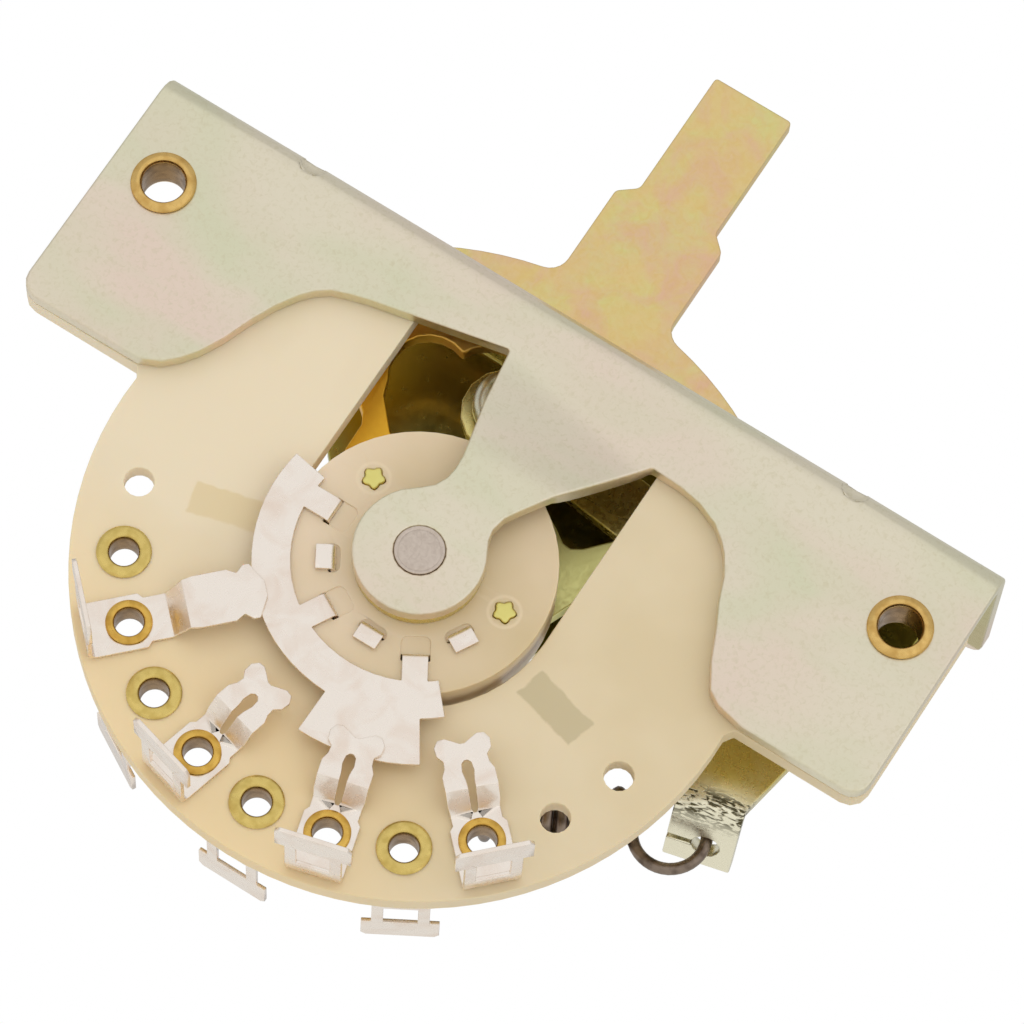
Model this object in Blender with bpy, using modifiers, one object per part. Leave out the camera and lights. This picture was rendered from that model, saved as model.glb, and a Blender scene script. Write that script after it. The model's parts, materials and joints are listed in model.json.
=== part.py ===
"""Open-frame lever selector switch: a folded steel frame, an insulating wafer with clip
terminals, a contact rotor on the lever's shaft, and a spring-loaded ball that indexes the lever.

Shapes are drawn in millimetres about the lever's shaft: x to the right, y away from the front,
z up the lever, with y = 0 on the front of the frame's plate. Angles are in degrees from +z
towards +x. The finished part stands on its panel face: the origin is the middle of the lever
slot on top of the flange.
"""

import math

import bmesh
import bpy
from mathutils import Matrix, Vector

MM = 0.001

# Clearances: RUNNING round what turns, TOUCHING between what is riveted or rests together.
RUNNING = 0.05
TOUCHING = 0.05

# Frame: one folded stamping.
SHEET = 1.22
HALF_LENGTH = 31.75
FRAME_TOP = 19.79
FRAME_DEPTH = 12.93
FOLD_RADIUS = 1.6
LOBE_BOTTOM = 1.71
CORNER_RADIUS = 1.3
BOSS_RADIUS = 4.3
BOSS_STEP = 1.94
SCREW_X = 20.65
SCREW_HOLE_RADIUS = 1.6
RIVET_X = HALF_LENGTH - 3.85
RIVET_Z = 12.83
RIVET_HOLE_RADIUS = 1.8
SLOT_HALF_LENGTH = 16.9
SLOT_SIDE = 0.9
SHELF_BOTTOM = -13.4
SHELF_REACH = 5.1
SHELF_LEFT = -1.0
SHELF_RIGHT = 4.8

# Wafer and its contacts.
WAFER_FRONT = SHEET + TOUCHING
WAFER_THICKNESS = 1.49
TERMINAL_RADIUS = 18.71
WAFER_RADIUS = TERMINAL_RADIUS + 3.49
NOTCH_HALF_WIDTH = 9.4
TERMINAL_PITCH = 15.0
TERMINAL_SHEET = 0.3
PAD_HALF_WIDTH = 1.85
CLIP_RAMP = (2.0, 3.1)
POLE_RAMP = (2.6, 3.7)
CONTACT_LIFT = 1.42
LUG_RADIUS = WAFER_RADIUS - 0.75
LUG_REACH = 7.0
LUG_BAR = 2.6
FRONT_CLIPS = (-1, 1, 3)
FRONT_POLE = -3
REAR_CLIPS = (-4, -2, 0)
REAR_POLE = 2
BARE_HOLES = (-5, 4, 5)
BARE_HOLE_RADIUS = 0.98
EYELET_BORE = 0.93
EYELET_BARREL = 1.22

# Rotor.
ROTOR_RADIUS = 8.9
ROTOR_THICKNESS = 3.6
RING_OUTER = 10.61
RING_INNER = 8.14
RING_SHEET = 0.3
RING_SPAN = 141.5
FRONT_RING_MID = 209.25
REAR_RING_MID = 179.5
SECTOR_RADIUS = 13.65
SECTOR_FROM = -62.25
SECTOR_TO = -28.25
RING_TAB_WIDTH = 1.65
RING_TAB_SPREAD = 60.0
FRONT_TAB_FOLD = 6.55
REAR_TAB_FOLD = 5.6
TAB_SLOT_END = 5.0
CLINCH_LENGTH = 1.35

# Lever.
LEVER_FRONT = 5.3
LEVER_THICKNESS = 1.3
LEVER_TIP = 41.1
HUMP_RADIUS = 24.0
HUMP_HALF_ANGLE = 49.0
SCALLOP_PITCH = 15.0
SCALLOP_COUNT = 5
SCALLOP_CENTRE = 15.0
SCALLOP_RADIUS = 2.62
WINDOW_BOTTOM = 9.9
WINDOW_EASE = 2.0
TANG_ANGLES = (-59.7, 89.0)
TANG_RADIUS = 6.35
TANG_REACH = 0.66

# Index ball, arm and spring.
BALL_RADIUS = 2.38
BALL_ANGLE = -8.2
BALL_DISTANCE = 14.2
ARM_FRONT = LEVER_FRONT + LEVER_THICKNESS + 0.4
ARM_SHEET = 1.1
ARM_PIVOT = (HALF_LENGTH - 7.15, 10.6)
ARM_PIN_RADIUS = 1.0
ARM_LEG_TILT = 14.0
ARM_LEG_HALF = 2.25
ARM_FOOT = (ARM_PIVOT[0] - 1.45, ARM_PIVOT[1] - 11.8)
ARM_TAB_FOLD = 72.0
ARM_TAB_FLAT = 4.2
ARM_EYE_AT = 2.2
ARM_EYE_ASIDE = 0.35
ARM_EYE_RADIUS = 0.95
SPRING_Y = FRAME_DEPTH - 2.93
SPRING_WIRE = 0.45
SPRING_RADIUS = 2.4
SPRING_PITCH = 1.0
SPRING_START = (ARM_FOOT[0] - 5.39, ARM_FOOT[1] - 4.07)
SPRING_END = (7.6, SHELF_BOTTOM + 3.85)
HOOK_RADIUS = 2.45
HOOK_REACH = 4.2
HOOK_HOLE_ASIDE = 6.0
HOOK_HOLE_RADIUS = 1.1

# Shaft, and the step on it and on the arm's pin where each enters the frame.
SHAFT_RADIUS = 2.0
STUB_RADIUS = 1.6
PIN_SHOULDER = 0.2
FRONT_WASHER_RADIUS = 4.2
HUB_SPACER_RADIUS = 4.0
REAR_SPACER_RADIUS = 3.6

LEVER_MID = LEVER_FRONT + LEVER_THICKNESS / 2
WAFER_BACK = WAFER_FRONT + WAFER_THICKNESS
WAFER_MID = WAFER_FRONT + WAFER_THICKNESS / 2
ROTOR_FRONT = WAFER_MID - ROTOR_THICKNESS / 2
ROTOR_BACK = WAFER_MID + ROTOR_THICKNESS / 2
HUB = Vector((0.0, -LEVER_MID, -FRAME_TOP)) * MM


# Scene helpers.


def clear_scene():
    for obj in list(bpy.data.objects):
        bpy.data.objects.remove(obj, do_unlink=True)


def new_collection(name, hidden):
    collection = bpy.data.collections.new(name)
    collection.hide_render = hidden
    bpy.context.scene.collection.children.link(collection)
    return collection


def material(name, colour, metallic, roughness):
    made = bpy.data.materials.new(name)
    made.diffuse_color = (*colour, 1.0)
    made.use_nodes = True
    shader = made.node_tree.nodes["Principled BSDF"]
    shader.inputs["Base Color"].default_value = (*colour, 1.0)
    shader.inputs["Metallic"].default_value = metallic
    shader.inputs["Roughness"].default_value = roughness
    return made


def add_object(name, mesh, helper=False, smooth=False):
    """Links a mesh drawn about the shaft, as a piece or as a hidden helper for a Boolean."""
    obj = bpy.data.objects.new(name, mesh)
    obj.location = HUB
    if helper:
        HELPERS.objects.link(obj)
        obj.hide_render = True
        obj.display_type = "WIRE"
    else:
        PARTS.objects.link(obj)
    if smooth:
        for face in mesh.polygons:
            face.use_smooth = True
    return obj


def finish_mesh(mesh):
    """Merges doubled points and turns every face outwards."""
    work = bmesh.new()
    work.from_mesh(mesh)
    bmesh.ops.remove_doubles(work, verts=work.verts, dist=1e-6)
    bmesh.ops.recalc_face_normals(work, faces=work.faces)
    work.to_mesh(mesh)
    work.free()


def evaluated_mesh(obj):
    """The object's mesh with its modifiers or curve settings applied. The object is removed."""
    bpy.context.view_layer.update()
    graph = bpy.context.evaluated_depsgraph_get()
    mesh = bpy.data.meshes.new_from_object(obj.evaluated_get(graph))
    bpy.data.objects.remove(obj, do_unlink=True)
    return mesh


def boolean(obj, other, operation="DIFFERENCE"):
    modifier = obj.modifiers.new(operation.title() + " " + other.name, "BOOLEAN")
    modifier.operation = operation
    modifier.object = other
    modifier.solver = "EXACT"


def set_origin(obj, place):
    """Moves an object's origin to this (x, z) about the shaft, with its shape left where it is."""
    shift = Vector((place[0], 0.0, place[1])) * MM
    obj.data.transform(Matrix.Translation(-shift))
    obj.location += shift


# Outlines in a plane.


def polar(radius, angle):
    """The point (x, z) at this distance from the shaft and this angle from +z towards +x."""
    turn = math.radians(angle)
    return (radius * math.sin(turn), radius * math.cos(turn))


def arc(centre, radius, start, end, steps):
    points = []
    for i in range(steps + 1):
        x, z = polar(radius, start + (end - start) * i / steps)
        points.append((centre[0] + x, centre[1] + z))
    return points


def circle(centre, radius, steps=24):
    return arc(centre, radius, 0, 360, steps)[:-1]


def rounded(points, radii, steps=4):
    """A polygon with each corner replaced by an arc of its own radius, 0 for a sharp one."""
    result = []
    count = len(points)
    for i, corner in enumerate(points):
        radius = radii[i]
        if radius <= 0:
            result.append(corner)
            continue
        here = Vector(corner)
        before = (Vector(points[i - 1]) - here).normalized()
        after = (Vector(points[(i + 1) % count]) - here).normalized()
        half = before.angle(after) / 2
        reach = radius / math.tan(half)
        middle = here + (before + after).normalized() * (radius / math.sin(half))
        first = here + before * reach - middle
        last = here + after * reach - middle
        turn = first.angle_signed(last)
        for j in range(steps + 1):
            spin = Matrix.Rotation(-turn * j / steps, 2)
            point = middle + spin @ first
            result.append((point.x, point.y))
    return result


def turned(points, angle):
    """The points turned about the shaft, from +z towards +x."""
    turn = math.radians(angle)
    c, s = math.cos(turn), math.sin(turn)
    return [(x * c + z * s, z * c - x * s) for x, z in points]


def extruded(name, loops, low, high, along="Y", helper=False):
    """A prism: the outer loop with any holes inside it, filled and drawn out along an axis."""
    curve = bpy.data.curves.new(name, "CURVE")
    curve.dimensions = "2D"
    curve.fill_mode = "BOTH"
    curve.extrude = (high - low) / 2 * MM
    for loop in loops:
        spline = curve.splines.new("POLY")
        spline.points.add(len(loop) - 1)
        for point, (u, v) in zip(spline.points, loop):
            point.co = (u * MM, v * MM, 0.0, 1.0)
        spline.use_cyclic_u = True
    drawn = bpy.data.objects.new(name, curve)
    bpy.context.scene.collection.objects.link(drawn)
    mesh = evaluated_mesh(drawn)
    bpy.data.curves.remove(curve)
    middle = (low + high) / 2 * MM
    for vertex in mesh.vertices:
        u, v, w = vertex.co
        if along == "Y":
            vertex.co = (u, middle + w, v)
        elif along == "X":
            vertex.co = (middle + w, u, v)
        else:
            vertex.co = (u, v, middle + w)
    finish_mesh(mesh)
    mesh.name = name
    return add_object(name, mesh, helper)


def turned_solid(name, profile, centre, steps=24, helper=False):
    """A closed profile of (radius, y) points, revolved about an axis along y."""
    mesh = bpy.data.meshes.new(name)
    points = [(radius * MM, y * MM, 0.0) for radius, y in profile]
    on_axis = [i for i, (radius, _) in enumerate(profile) if radius == 0]
    edges = [(i, i + 1) for i in range(len(points) - 1)]
    if not on_axis:
        edges.append((len(points) - 1, 0))
    mesh.from_pydata(points, edges, [])
    obj = bpy.data.objects.new(name, mesh)
    bpy.context.scene.collection.objects.link(obj)
    screw = obj.modifiers.new("Revolve", "SCREW")
    screw.axis = "Y"
    screw.steps = steps
    screw.render_steps = steps
    screw.use_merge_vertices = True
    screw.merge_threshold = 1e-6
    made = evaluated_mesh(obj)
    made.transform(Matrix.Translation(Vector((centre[0], 0.0, centre[1])) * MM))
    finish_mesh(made)
    made.name = name
    return add_object(name, made, helper, smooth=not helper)


def bore(name, centre, radius, low, high, steps=24):
    return extruded(name, [circle(centre, radius, steps)], low, high, helper=True)


def fold_sheet(
    obj, origin, away, towards, thickness, inner_radius, half_width=1000.0, steps=3, angle=90.0
):
    """Folds the part of a flat sheet that lies past a line through this angle. The line
    passes through the origin, square to away. The sheet rises towards the side given."""
    away = Vector(away).normalized()
    towards = Vector(towards).normalized()
    side = away.cross(towards)
    origin = Vector(origin) * MM
    middle = (inner_radius + thickness / 2) * MM
    full = math.radians(angle)
    length = middle * full
    work = bmesh.new()
    work.from_mesh(obj.data)

    def inside(face):
        return all(abs((v.co - origin).dot(side)) < half_width * MM for v in face.verts)

    for i in range(steps + 1):
        faces = [face for face in work.faces if inside(face)]
        edges = {edge for face in faces for edge in face.edges}
        verts = {vert for face in faces for vert in face.verts}
        bmesh.ops.bisect_plane(
            work,
            geom=faces + list(edges) + list(verts),
            dist=1e-7,
            plane_co=origin + away * length * i / steps,
            plane_no=away,
        )
    moved = beyond(work, origin, away, side, half_width)
    base = min((vert.co - origin).dot(towards) for vert in moved)
    centre = base + (thickness + inner_radius) * MM
    for vert in moved:
        offset = vert.co - origin
        past = offset.dot(away)
        height = offset.dot(towards)
        radius = centre - height
        turn = min(past / middle, full)
        rest = max(past - length, 0.0)
        vert.co += away * (radius * math.sin(turn) + rest * math.cos(full) - past)
        vert.co += towards * (centre - radius * math.cos(turn) + rest * math.sin(full) - height)
    work.to_mesh(obj.data)
    work.free()


def beyond(work, origin, away, side, half_width):
    """The points of a mesh past a line, no further than half_width to either side of it."""
    return [
        vert
        for vert in work.verts
        if (vert.co - origin).dot(away) > 1e-7
        and abs((vert.co - origin).dot(side)) <= half_width * MM
    ]


def lengthen_tab(obj, origin, away, side, half_width, extra):
    """Draws the end of a tab out by this much, past a point and in the direction away."""
    work = bmesh.new()
    work.from_mesh(obj.data)
    for vert in beyond(work, Vector(origin) * MM, Vector(away), Vector(side), half_width):
        vert.co += Vector(away) * extra * MM
    work.to_mesh(obj.data)
    work.free()


def lift_sheet(obj, start, end, lift):
    """Sets the part of a flat sheet past v = end off, by a ramp that begins at v = start. Used
    on blanks drawn with v in y and their thickness in z."""
    work = bmesh.new()
    work.from_mesh(obj.data)
    for at in (start, end):
        bmesh.ops.bisect_plane(
            work,
            geom=list(work.faces) + list(work.edges) + list(work.verts),
            dist=1e-7,
            plane_co=(0.0, at * MM, 0.0),
            plane_no=(0.0, 1.0, 0.0),
        )
    for vert in work.verts:
        share = (vert.co.y / MM - start) / (end - start)
        vert.co.z += lift * MM * min(max(share, 0.0), 1.0)
    work.to_mesh(obj.data)
    work.free()


# The frame.


def lobe_left():
    """The lower edge of the left end of the plate, from the end lobe to the tongue, drawn as
    distances from the plate's end and heights above the lobe's lower edge."""
    drawn = [
        (9.15, 0.09), (10.55, 0.69), (11.45, 1.59), (12.25, 2.69), (13.05, 4.29), (13.75, 6.19),
        (14.55, 7.94), (15.45, 9.39), (16.15, 10.19), (16.95, 10.79), (18.15, 11.24), (19.4, 11.59),
    ]
    return [(u - HALF_LENGTH, v + LOBE_BOTTOM) for u, v in drawn]


def lobe_right():
    """The same edge at the right end, from the tongue to the end lobe."""
    drawn = [
        (20.6, 11.63), (18.95, 11.34), (17.4, 10.69), (16.45, 9.94), (15.85, 9.29), (15.05, 7.99),
        (14.45, 6.39), (13.55, 4.59), (12.75, 2.74), (11.75, 1.04), (10.75, 0.44), (8.85, 0.04),
    ]
    return [(HALF_LENGTH - u, v + LOBE_BOTTOM) for u, v in drawn]


TONGUE_LEFT = [(-2.96, 15.35), (-2.76, 14.1), (-2.4, 12.1), (-2.1, 10.5), (-1.47, 8.2), (-1.18, 6.9)]
TONGUE_RIGHT = [(9.0, 13.45), (8.15, 12.2), (7.0, 10.4), (5.85, 8.65), (5.1, 7.6)]
NECK_LEFT = [(-1.12, 5.9), (-1.22, 5.1), (-1.6, 4.3), (-2.3, 3.63)]
NECK_RIGHT = [(3.3, 2.95), (3.14, 3.7), (3.35, 4.75), (3.9, 5.7), (4.57, 6.75)]
JOGGLE = ((0.0, 0.0), (0.07, 0.02), (0.2, 0.14), (0.5, 0.5), (0.8, 0.86), (0.93, 0.98), (1.0, 1.0))


def along_line(points, fraction):
    """The point this far along a line of points, by length."""
    lengths = [(Vector(b) - Vector(a)).length for a, b in zip(points, points[1:])]
    left = fraction * sum(lengths)
    for i, length in enumerate(lengths):
        if left <= length or i == len(lengths) - 1:
            return tuple(Vector(points[i]).lerp(Vector(points[i + 1]), left / length))
        left -= length


def end_corners(sign):
    """The rounded lower end of a lobe."""
    outer = (sign * HALF_LENGTH, LOBE_BOTTOM)
    inner = (sign * (HALF_LENGTH - 6.0), LOBE_BOTTOM)
    above = (sign * HALF_LENGTH, LOBE_BOTTOM + 6.0)
    corner = rounded([above, outer, inner], [0, CORNER_RADIUS, 0], 4)
    return corner[1:-1]


def fold_rows(work, start, corner, end, xs, steps=4):
    """Rows of points round a fold in the y-z plane, from the first point to the last."""
    a = math.atan2(start[1] - corner[1], start[0] - corner[0])
    b = math.atan2(end[1] - corner[1], end[0] - corner[0])
    rows = []
    for i in range(steps + 1):
        turn = a + (b - a) * i / steps
        y = corner[0] + FOLD_RADIUS * math.cos(turn)
        z = corner[1] + FOLD_RADIUS * math.sin(turn)
        rows.append([work.verts.new(Vector((x, y, z)) * MM) for x in xs])
    return rows


def bridge(work, rows):
    for first, second in zip(rows, rows[1:]):
        for i in range(len(first) - 1):
            work.faces.new((first[i], first[i + 1], second[i + 1], second[i]))


def frame_sheet():
    """The outer face of the whole stamping, folds and joggle included, before it gets thickness."""
    work = bmesh.new()
    top = FRAME_TOP - FOLD_RADIUS
    back = FRAME_DEPTH - FOLD_RADIUS
    rear_left, rear_right = -12.0, ARM_PIVOT[0] + 3.4
    xs = [-HALF_LENGTH, HALF_LENGTH]

    def point(x, y, z):
        return work.verts.new(Vector((x, y, z)) * MM)

    front_rows = fold_rows(work, (0, top), (FOLD_RADIUS, top), (FOLD_RADIUS, FRAME_TOP), xs)
    bridge(work, front_rows)
    row = front_rows[0]

    joggle = []
    for fraction, step in JOGGLE:
        left = along_line(TONGUE_LEFT, fraction)
        right = along_line(TONGUE_RIGHT, fraction)
        y = -BOSS_STEP * step
        joggle.append([point(left[0], y, left[1]), point(right[0], y, right[1])])
    bridge(work, joggle)

    plate = [row[0]]
    plate += [point(x, 0, z) for x, z in end_corners(-1) + lobe_left()]
    plate += joggle[0]
    plate += [point(x, 0, z) for x, z in lobe_right() + end_corners(1)[::-1]]
    plate += [row[1]]
    work.faces.new(plate)

    first = math.degrees(math.atan2(-3.2, 2.87))
    last = math.degrees(math.atan2(3.66, 2.26))
    rim = arc((0, 0), BOSS_RADIUS, first, last - 360, 26)
    boss = [joggle[-1][0]]
    boss += [point(x, -BOSS_STEP, z) for x, z in NECK_LEFT + rim + NECK_RIGHT]
    boss += [joggle[-1][1]]
    work.faces.new(boss)

    rear_xs = [rear_left, rear_right]
    rear_rows = fold_rows(work, (back, FRAME_TOP), (back, top), (FRAME_DEPTH, top), rear_xs)
    bridge(work, rear_rows)
    flange = [front_rows[-1][0], front_rows[-1][1]]
    edge = FRAME_DEPTH - 0.02
    for sign in (1, -1):
        end = sign * HALF_LENGTH
        ends = rounded([(end, 0), (end, edge), (0, edge)], [0, CORNER_RADIUS, 0], 4)[1:-1]
        corner = [point(x, y, FRAME_TOP) for x, y in ends]
        if sign > 0:
            flange += corner + [point(rear_right, edge, FRAME_TOP), rear_rows[0][1]]
        else:
            flange += [rear_rows[0][0], point(rear_left, edge, FRAME_TOP)] + corner[::-1]
    work.faces.new(flange)

    low = SHELF_BOTTOM + FOLD_RADIUS
    shelf_xs = [SHELF_LEFT, SHELF_RIGHT]
    shelf_rows = fold_rows(
        work, (FRAME_DEPTH, low), (back, low), (back, SHELF_BOTTOM), shelf_xs
    )
    bridge(work, shelf_rows)
    tip = FRAME_DEPTH - SHELF_REACH
    ends = rounded(
        [(shelf_xs[1], back), (shelf_xs[1], tip), (shelf_xs[0], tip), (shelf_xs[0], back)],
        [0, 1.2, 1.2, 0],
        4,
    )[1:-1]
    work.faces.new(
        [shelf_rows[-1][0], shelf_rows[-1][1]] + [point(x, y, SHELF_BOTTOM) for x, y in ends]
    )

    down, up = leg_outline(rear_left, rear_right, shelf_xs)
    leg = [rear_rows[-1][0], rear_rows[-1][1]]
    leg += [point(x, FRAME_DEPTH, z) for x, z in down]
    leg += [shelf_rows[0][1], shelf_rows[0][0]]
    leg += [point(x, FRAME_DEPTH, z) for x, z in up]
    work.faces.new(leg)

    bmesh.ops.recalc_face_normals(work, faces=work.faces)
    front = min(work.faces, key=lambda face: face.calc_center_median().y)
    if front.normal.y > 0:
        bmesh.ops.reverse_faces(work, faces=work.faces)
    mesh = bpy.data.meshes.new("frame")
    work.to_mesh(mesh)
    work.free()
    return mesh


def leg_outline(left, right, shelf_xs):
    """The edge of the rear leg: down its right side to the shelf, and up its left side."""
    hub = 5.2
    under = ARM_PIVOT[1] - 4.4
    down = rounded(
        [(right, 15.0), (right, under), (15.0, under), (8.5, 3.4), (5.0, 0.0)],
        [0, 2.0, 3.0, 0, 0],
        4,
    )[1:]
    down = down + [polar(hub, 105), polar(hub, 118)] + [(shelf_xs[1], -6.0)]
    up = [(shelf_xs[0], -7.5), (shelf_xs[0] - 0.6, -5.4)]
    up += [polar(hub, 215), polar(hub, 235), polar(hub, 255)]
    up += rounded(
        [polar(hub, 262), (-6.2, 2.5), (left, 7.4), (left, 15.0)],
        [0, 3.0, 3.0, 0],
        4,
    )[1:-1]
    return down, up


def make_frame():
    frame = add_object("frame", frame_sheet())
    solidify = frame.modifiers.new("Sheet", "SOLIDIFY")
    solidify.thickness = SHEET * MM
    solidify.offset = -1
    solidify.use_even_offset = True
    solidify.use_quality_normals = True
    flange_low, flange_high = FRAME_TOP - SHEET - 1, FRAME_TOP + 1
    for sign, side in ((-1, "left"), (1, "right")):
        rivet = (sign * RIVET_X, RIVET_Z)
        boolean(frame, bore("cut_rivet_" + side, rivet, RIVET_HOLE_RADIUS, -1, SHEET + 1, 20))
        ring = circle((sign * SCREW_X, LEVER_MID), SCREW_HOLE_RADIUS, 24)
        boolean(
            frame, extruded("cut_screw_" + side, [ring], flange_low, flange_high, "Z", helper=True)
        )
        boolean(frame, gusset("cut_gusset_" + side, sign * SCREW_X))
    rear_low, rear_high = FRAME_DEPTH - SHEET - 1, FRAME_DEPTH + 1
    stub_hole = STUB_RADIUS + RUNNING
    pin_hole = ARM_PIN_RADIUS - PIN_SHOULDER + RUNNING
    boolean(frame, bore("cut_boss", (0, 0), stub_hole, -BOSS_STEP - 1, SHEET - BOSS_STEP + 1, 20))
    boolean(frame, bore("cut_rear_pivot", (0, 0), stub_hole, rear_low, rear_high, 20))
    boolean(frame, bore("cut_arm_pin", ARM_PIVOT, pin_hole, rear_low, rear_high, 16))
    slot_low, slot_high = LEVER_FRONT - SLOT_SIDE, LEVER_FRONT + LEVER_THICKNESS + SLOT_SIDE
    slot = rounded(
        [
            (-SLOT_HALF_LENGTH, slot_low),
            (SLOT_HALF_LENGTH, slot_low),
            (SLOT_HALF_LENGTH, slot_high),
            (-SLOT_HALF_LENGTH, slot_high),
        ],
        [1.4, 1.4, 1.4, 1.4],
        4,
    )
    boolean(frame, extruded("cut_slot", [slot], flange_low, flange_high, "Z", helper=True))
    hook = circle((SPRING_END[0] - HOOK_HOLE_ASIDE, SPRING_Y), HOOK_HOLE_RADIUS, 16)
    shelf_low, shelf_high = SHELF_BOTTOM - 1, SHELF_BOTTOM + SHEET + 1
    boolean(frame, extruded("cut_hook", [hook], shelf_low, shelf_high, "Z", helper=True))
    return frame


def gusset(name, x):
    """A shallow stiffening dimple, pressed into the outside of the front fold."""
    work = bmesh.new()
    bmesh.ops.create_uvsphere(work, u_segments=12, v_segments=8, radius=1.35 * MM)
    reach = FOLD_RADIUS * (1 - math.sqrt(0.5))
    shift = 0.62
    centre = Vector((x, reach - shift, FRAME_TOP - reach + shift)) * MM
    bmesh.ops.translate(work, verts=work.verts, vec=centre)
    mesh = bpy.data.meshes.new(name)
    work.to_mesh(mesh)
    work.free()
    return add_object(name, mesh, helper=True)


# The wafer and what is riveted to it.


def make_wafer():
    top = FRAME_TOP - SHEET - 0.4
    root = 87.3
    ear_root = WAFER_RADIUS + 0.4
    ear = rounded(
        [(HALF_LENGTH, top), (HALF_LENGTH, LOBE_BOTTOM), (ear_root, LOBE_BOTTOM)],
        [0.8, CORNER_RADIUS, 0],
        3,
    )
    disc = arc((0, 0), WAFER_RADIUS, root, 360 - root, 48)
    left_ear = [(-x, z) for x, z in ear[::-1]]
    notch = [(-NOTCH_HALF_WIDTH, top)]
    notch += arc((0, 0), NOTCH_HALF_WIDTH, 270, 90, 24)
    notch += [(NOTCH_HALF_WIDTH, top)]
    outline = ear + disc + left_ear + notch
    holes = []
    for k in range(-5, 6):
        radius = EYELET_BARREL + TOUCHING if k not in BARE_HOLES else BARE_HOLE_RADIUS
        holes.append(circle(polar(TERMINAL_RADIUS, 180 - TERMINAL_PITCH * k), radius, 16))
    for sign in (-1, 1):
        holes.append(circle((sign * RIVET_X, RIVET_Z), RIVET_HOLE_RADIUS, 20))
    return extruded("wafer", [outline] + holes, WAFER_FRONT, WAFER_BACK)


def flange(face, out, barrel, bore_radius, reach, roll):
    """Half of an eyelet's profile, from the bore over its flange to the barrel: a flat pressed
    collar, or with more roll the rounder rim of a flared end. out is the way it faces, -1 or 1."""
    return [
        (bore_radius, face - out * roll * 0.4),
        (bore_radius + roll * 0.5, face + out * roll * 0.9),
        (reach - roll * 0.4, face + out * roll),
        (reach, face),
        (barrel, face),
    ]


def eyelet(name, centre, front, back, barrel, bore_radius, reaches, roll, steps):
    """An eyelet set through a stack: a flange on its front face and another on its back."""
    profile = flange(front, -1, barrel, bore_radius, reaches[0], roll)
    profile += flange(back, 1, barrel, bore_radius, reaches[1], roll)[::-1]
    return turned_solid(name, profile, centre, steps)


def make_eyelet(k):
    """The eyelet of one terminal hole: its wide collar is on the side without a terminal."""
    front, back = WAFER_FRONT - TOUCHING, WAFER_BACK + TOUCHING
    stack = TERMINAL_SHEET + TOUCHING
    wide, narrow = EYELET_BARREL + 0.55, EYELET_BARREL + 0.28
    if k in FRONT_CLIPS or k == FRONT_POLE:
        front, reaches = front - stack, (narrow, wide)
    else:
        back, reaches = back + stack, (wide, narrow)
    centre = polar(TERMINAL_RADIUS, 180 - TERMINAL_PITCH * k)
    name = "terminal_eyelet_" + tag(k)
    return eyelet(name, centre, front, back, EYELET_BARREL, EYELET_BORE, reaches, 0.24, 16)


def make_frame_eyelet(sign, side):
    """The larger eyelet that holds the wafer to the frame at one end."""
    barrel = RIVET_HOLE_RADIUS - 0.06
    centre = (sign * RIVET_X, RIVET_Z)
    rim = (barrel + 0.4, barrel + 0.4)
    back = WAFER_BACK + TOUCHING
    return eyelet("frame_eyelet_" + side, centre, -TOUCHING, back, barrel, 1.4, rim, 0.4, 18)


def tag(k):
    return "left_%d" % -k if k < 0 else "right_%d" % k if k else "middle"


def mirrored(right):
    """A closed outline from its right half, listed from bottom to top."""
    return right + [(-u, v) for u, v in right[::-1]]


def clip_outline():
    """A spring clip seen flat, with +v pointing at the shaft: the pad for the eyelet, a body
    and a head of two round lobes over the ring's wide sector."""
    head = TERMINAL_RADIUS - SECTOR_RADIUS + 0.99
    return mirrored(
        [
            (PAD_HALF_WIDTH, TERMINAL_RADIUS - LUG_RADIUS), (PAD_HALF_WIDTH, 1.0), (1.6, 1.3),
            (1.6, 2.0), (1.7, 2.4), (1.7, head - 1.95), (1.45, head - 1.45), (1.4, head - 0.95),
            (1.75, head - 0.55), (1.8, head + 0.05), (1.5, head + 0.5), (1.05, head + 0.55),
            (0.6, head + 0.3), (0.15, head + 0.03),
        ]
    )


def clip_slot():
    """The teardrop slot that makes a clip springy."""
    head = TERMINAL_RADIUS - SECTOR_RADIUS + 0.99
    return mirrored(
        [
            (0.1, 1.95), (0.22, 2.15), (0.26, head - 2.45), (0.38, head - 1.85),
            (0.32, head - 1.3), (0.12, head - 1.1),
        ]
    )


def pole_outline():
    """The longer solid contact whose tip rides on the ring all the time."""
    tip = TERMINAL_RADIUS - RING_OUTER + 0.75
    return mirrored(
        [
            (PAD_HALF_WIDTH, TERMINAL_RADIUS - LUG_RADIUS), (PAD_HALF_WIDTH, 0.9), (1.5, 1.2),
            (1.5, 2.9), (1.75, 4.4), (1.75, tip - 2.25), (1.4, tip - 1.65), (1.85, tip - 1.15),
            (1.85, tip - 0.75), (1.3, tip - 0.45), (0.5, tip),
        ]
    )


def with_lug(outline):
    """The flat blank of a terminal: the pad and contact, and a lug of two legs, a rectangular
    eye and a wider crossbar beyond the pad."""
    root = TERMINAL_RADIUS - LUG_RADIUS
    reach = root - LUG_REACH
    bar = reach + LUG_BAR
    lug = [(PAD_HALF_WIDTH, bar), (2.5, bar), (2.5, reach + 0.4), (2.2, reach)]
    eye = [(1.1, root - 1.5), (1.1, bar), (-1.1, bar), (-1.1, root - 1.5)]
    left = [(-u, v) for u, v in lug]
    return outline + left + lug[::-1], eye


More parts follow.
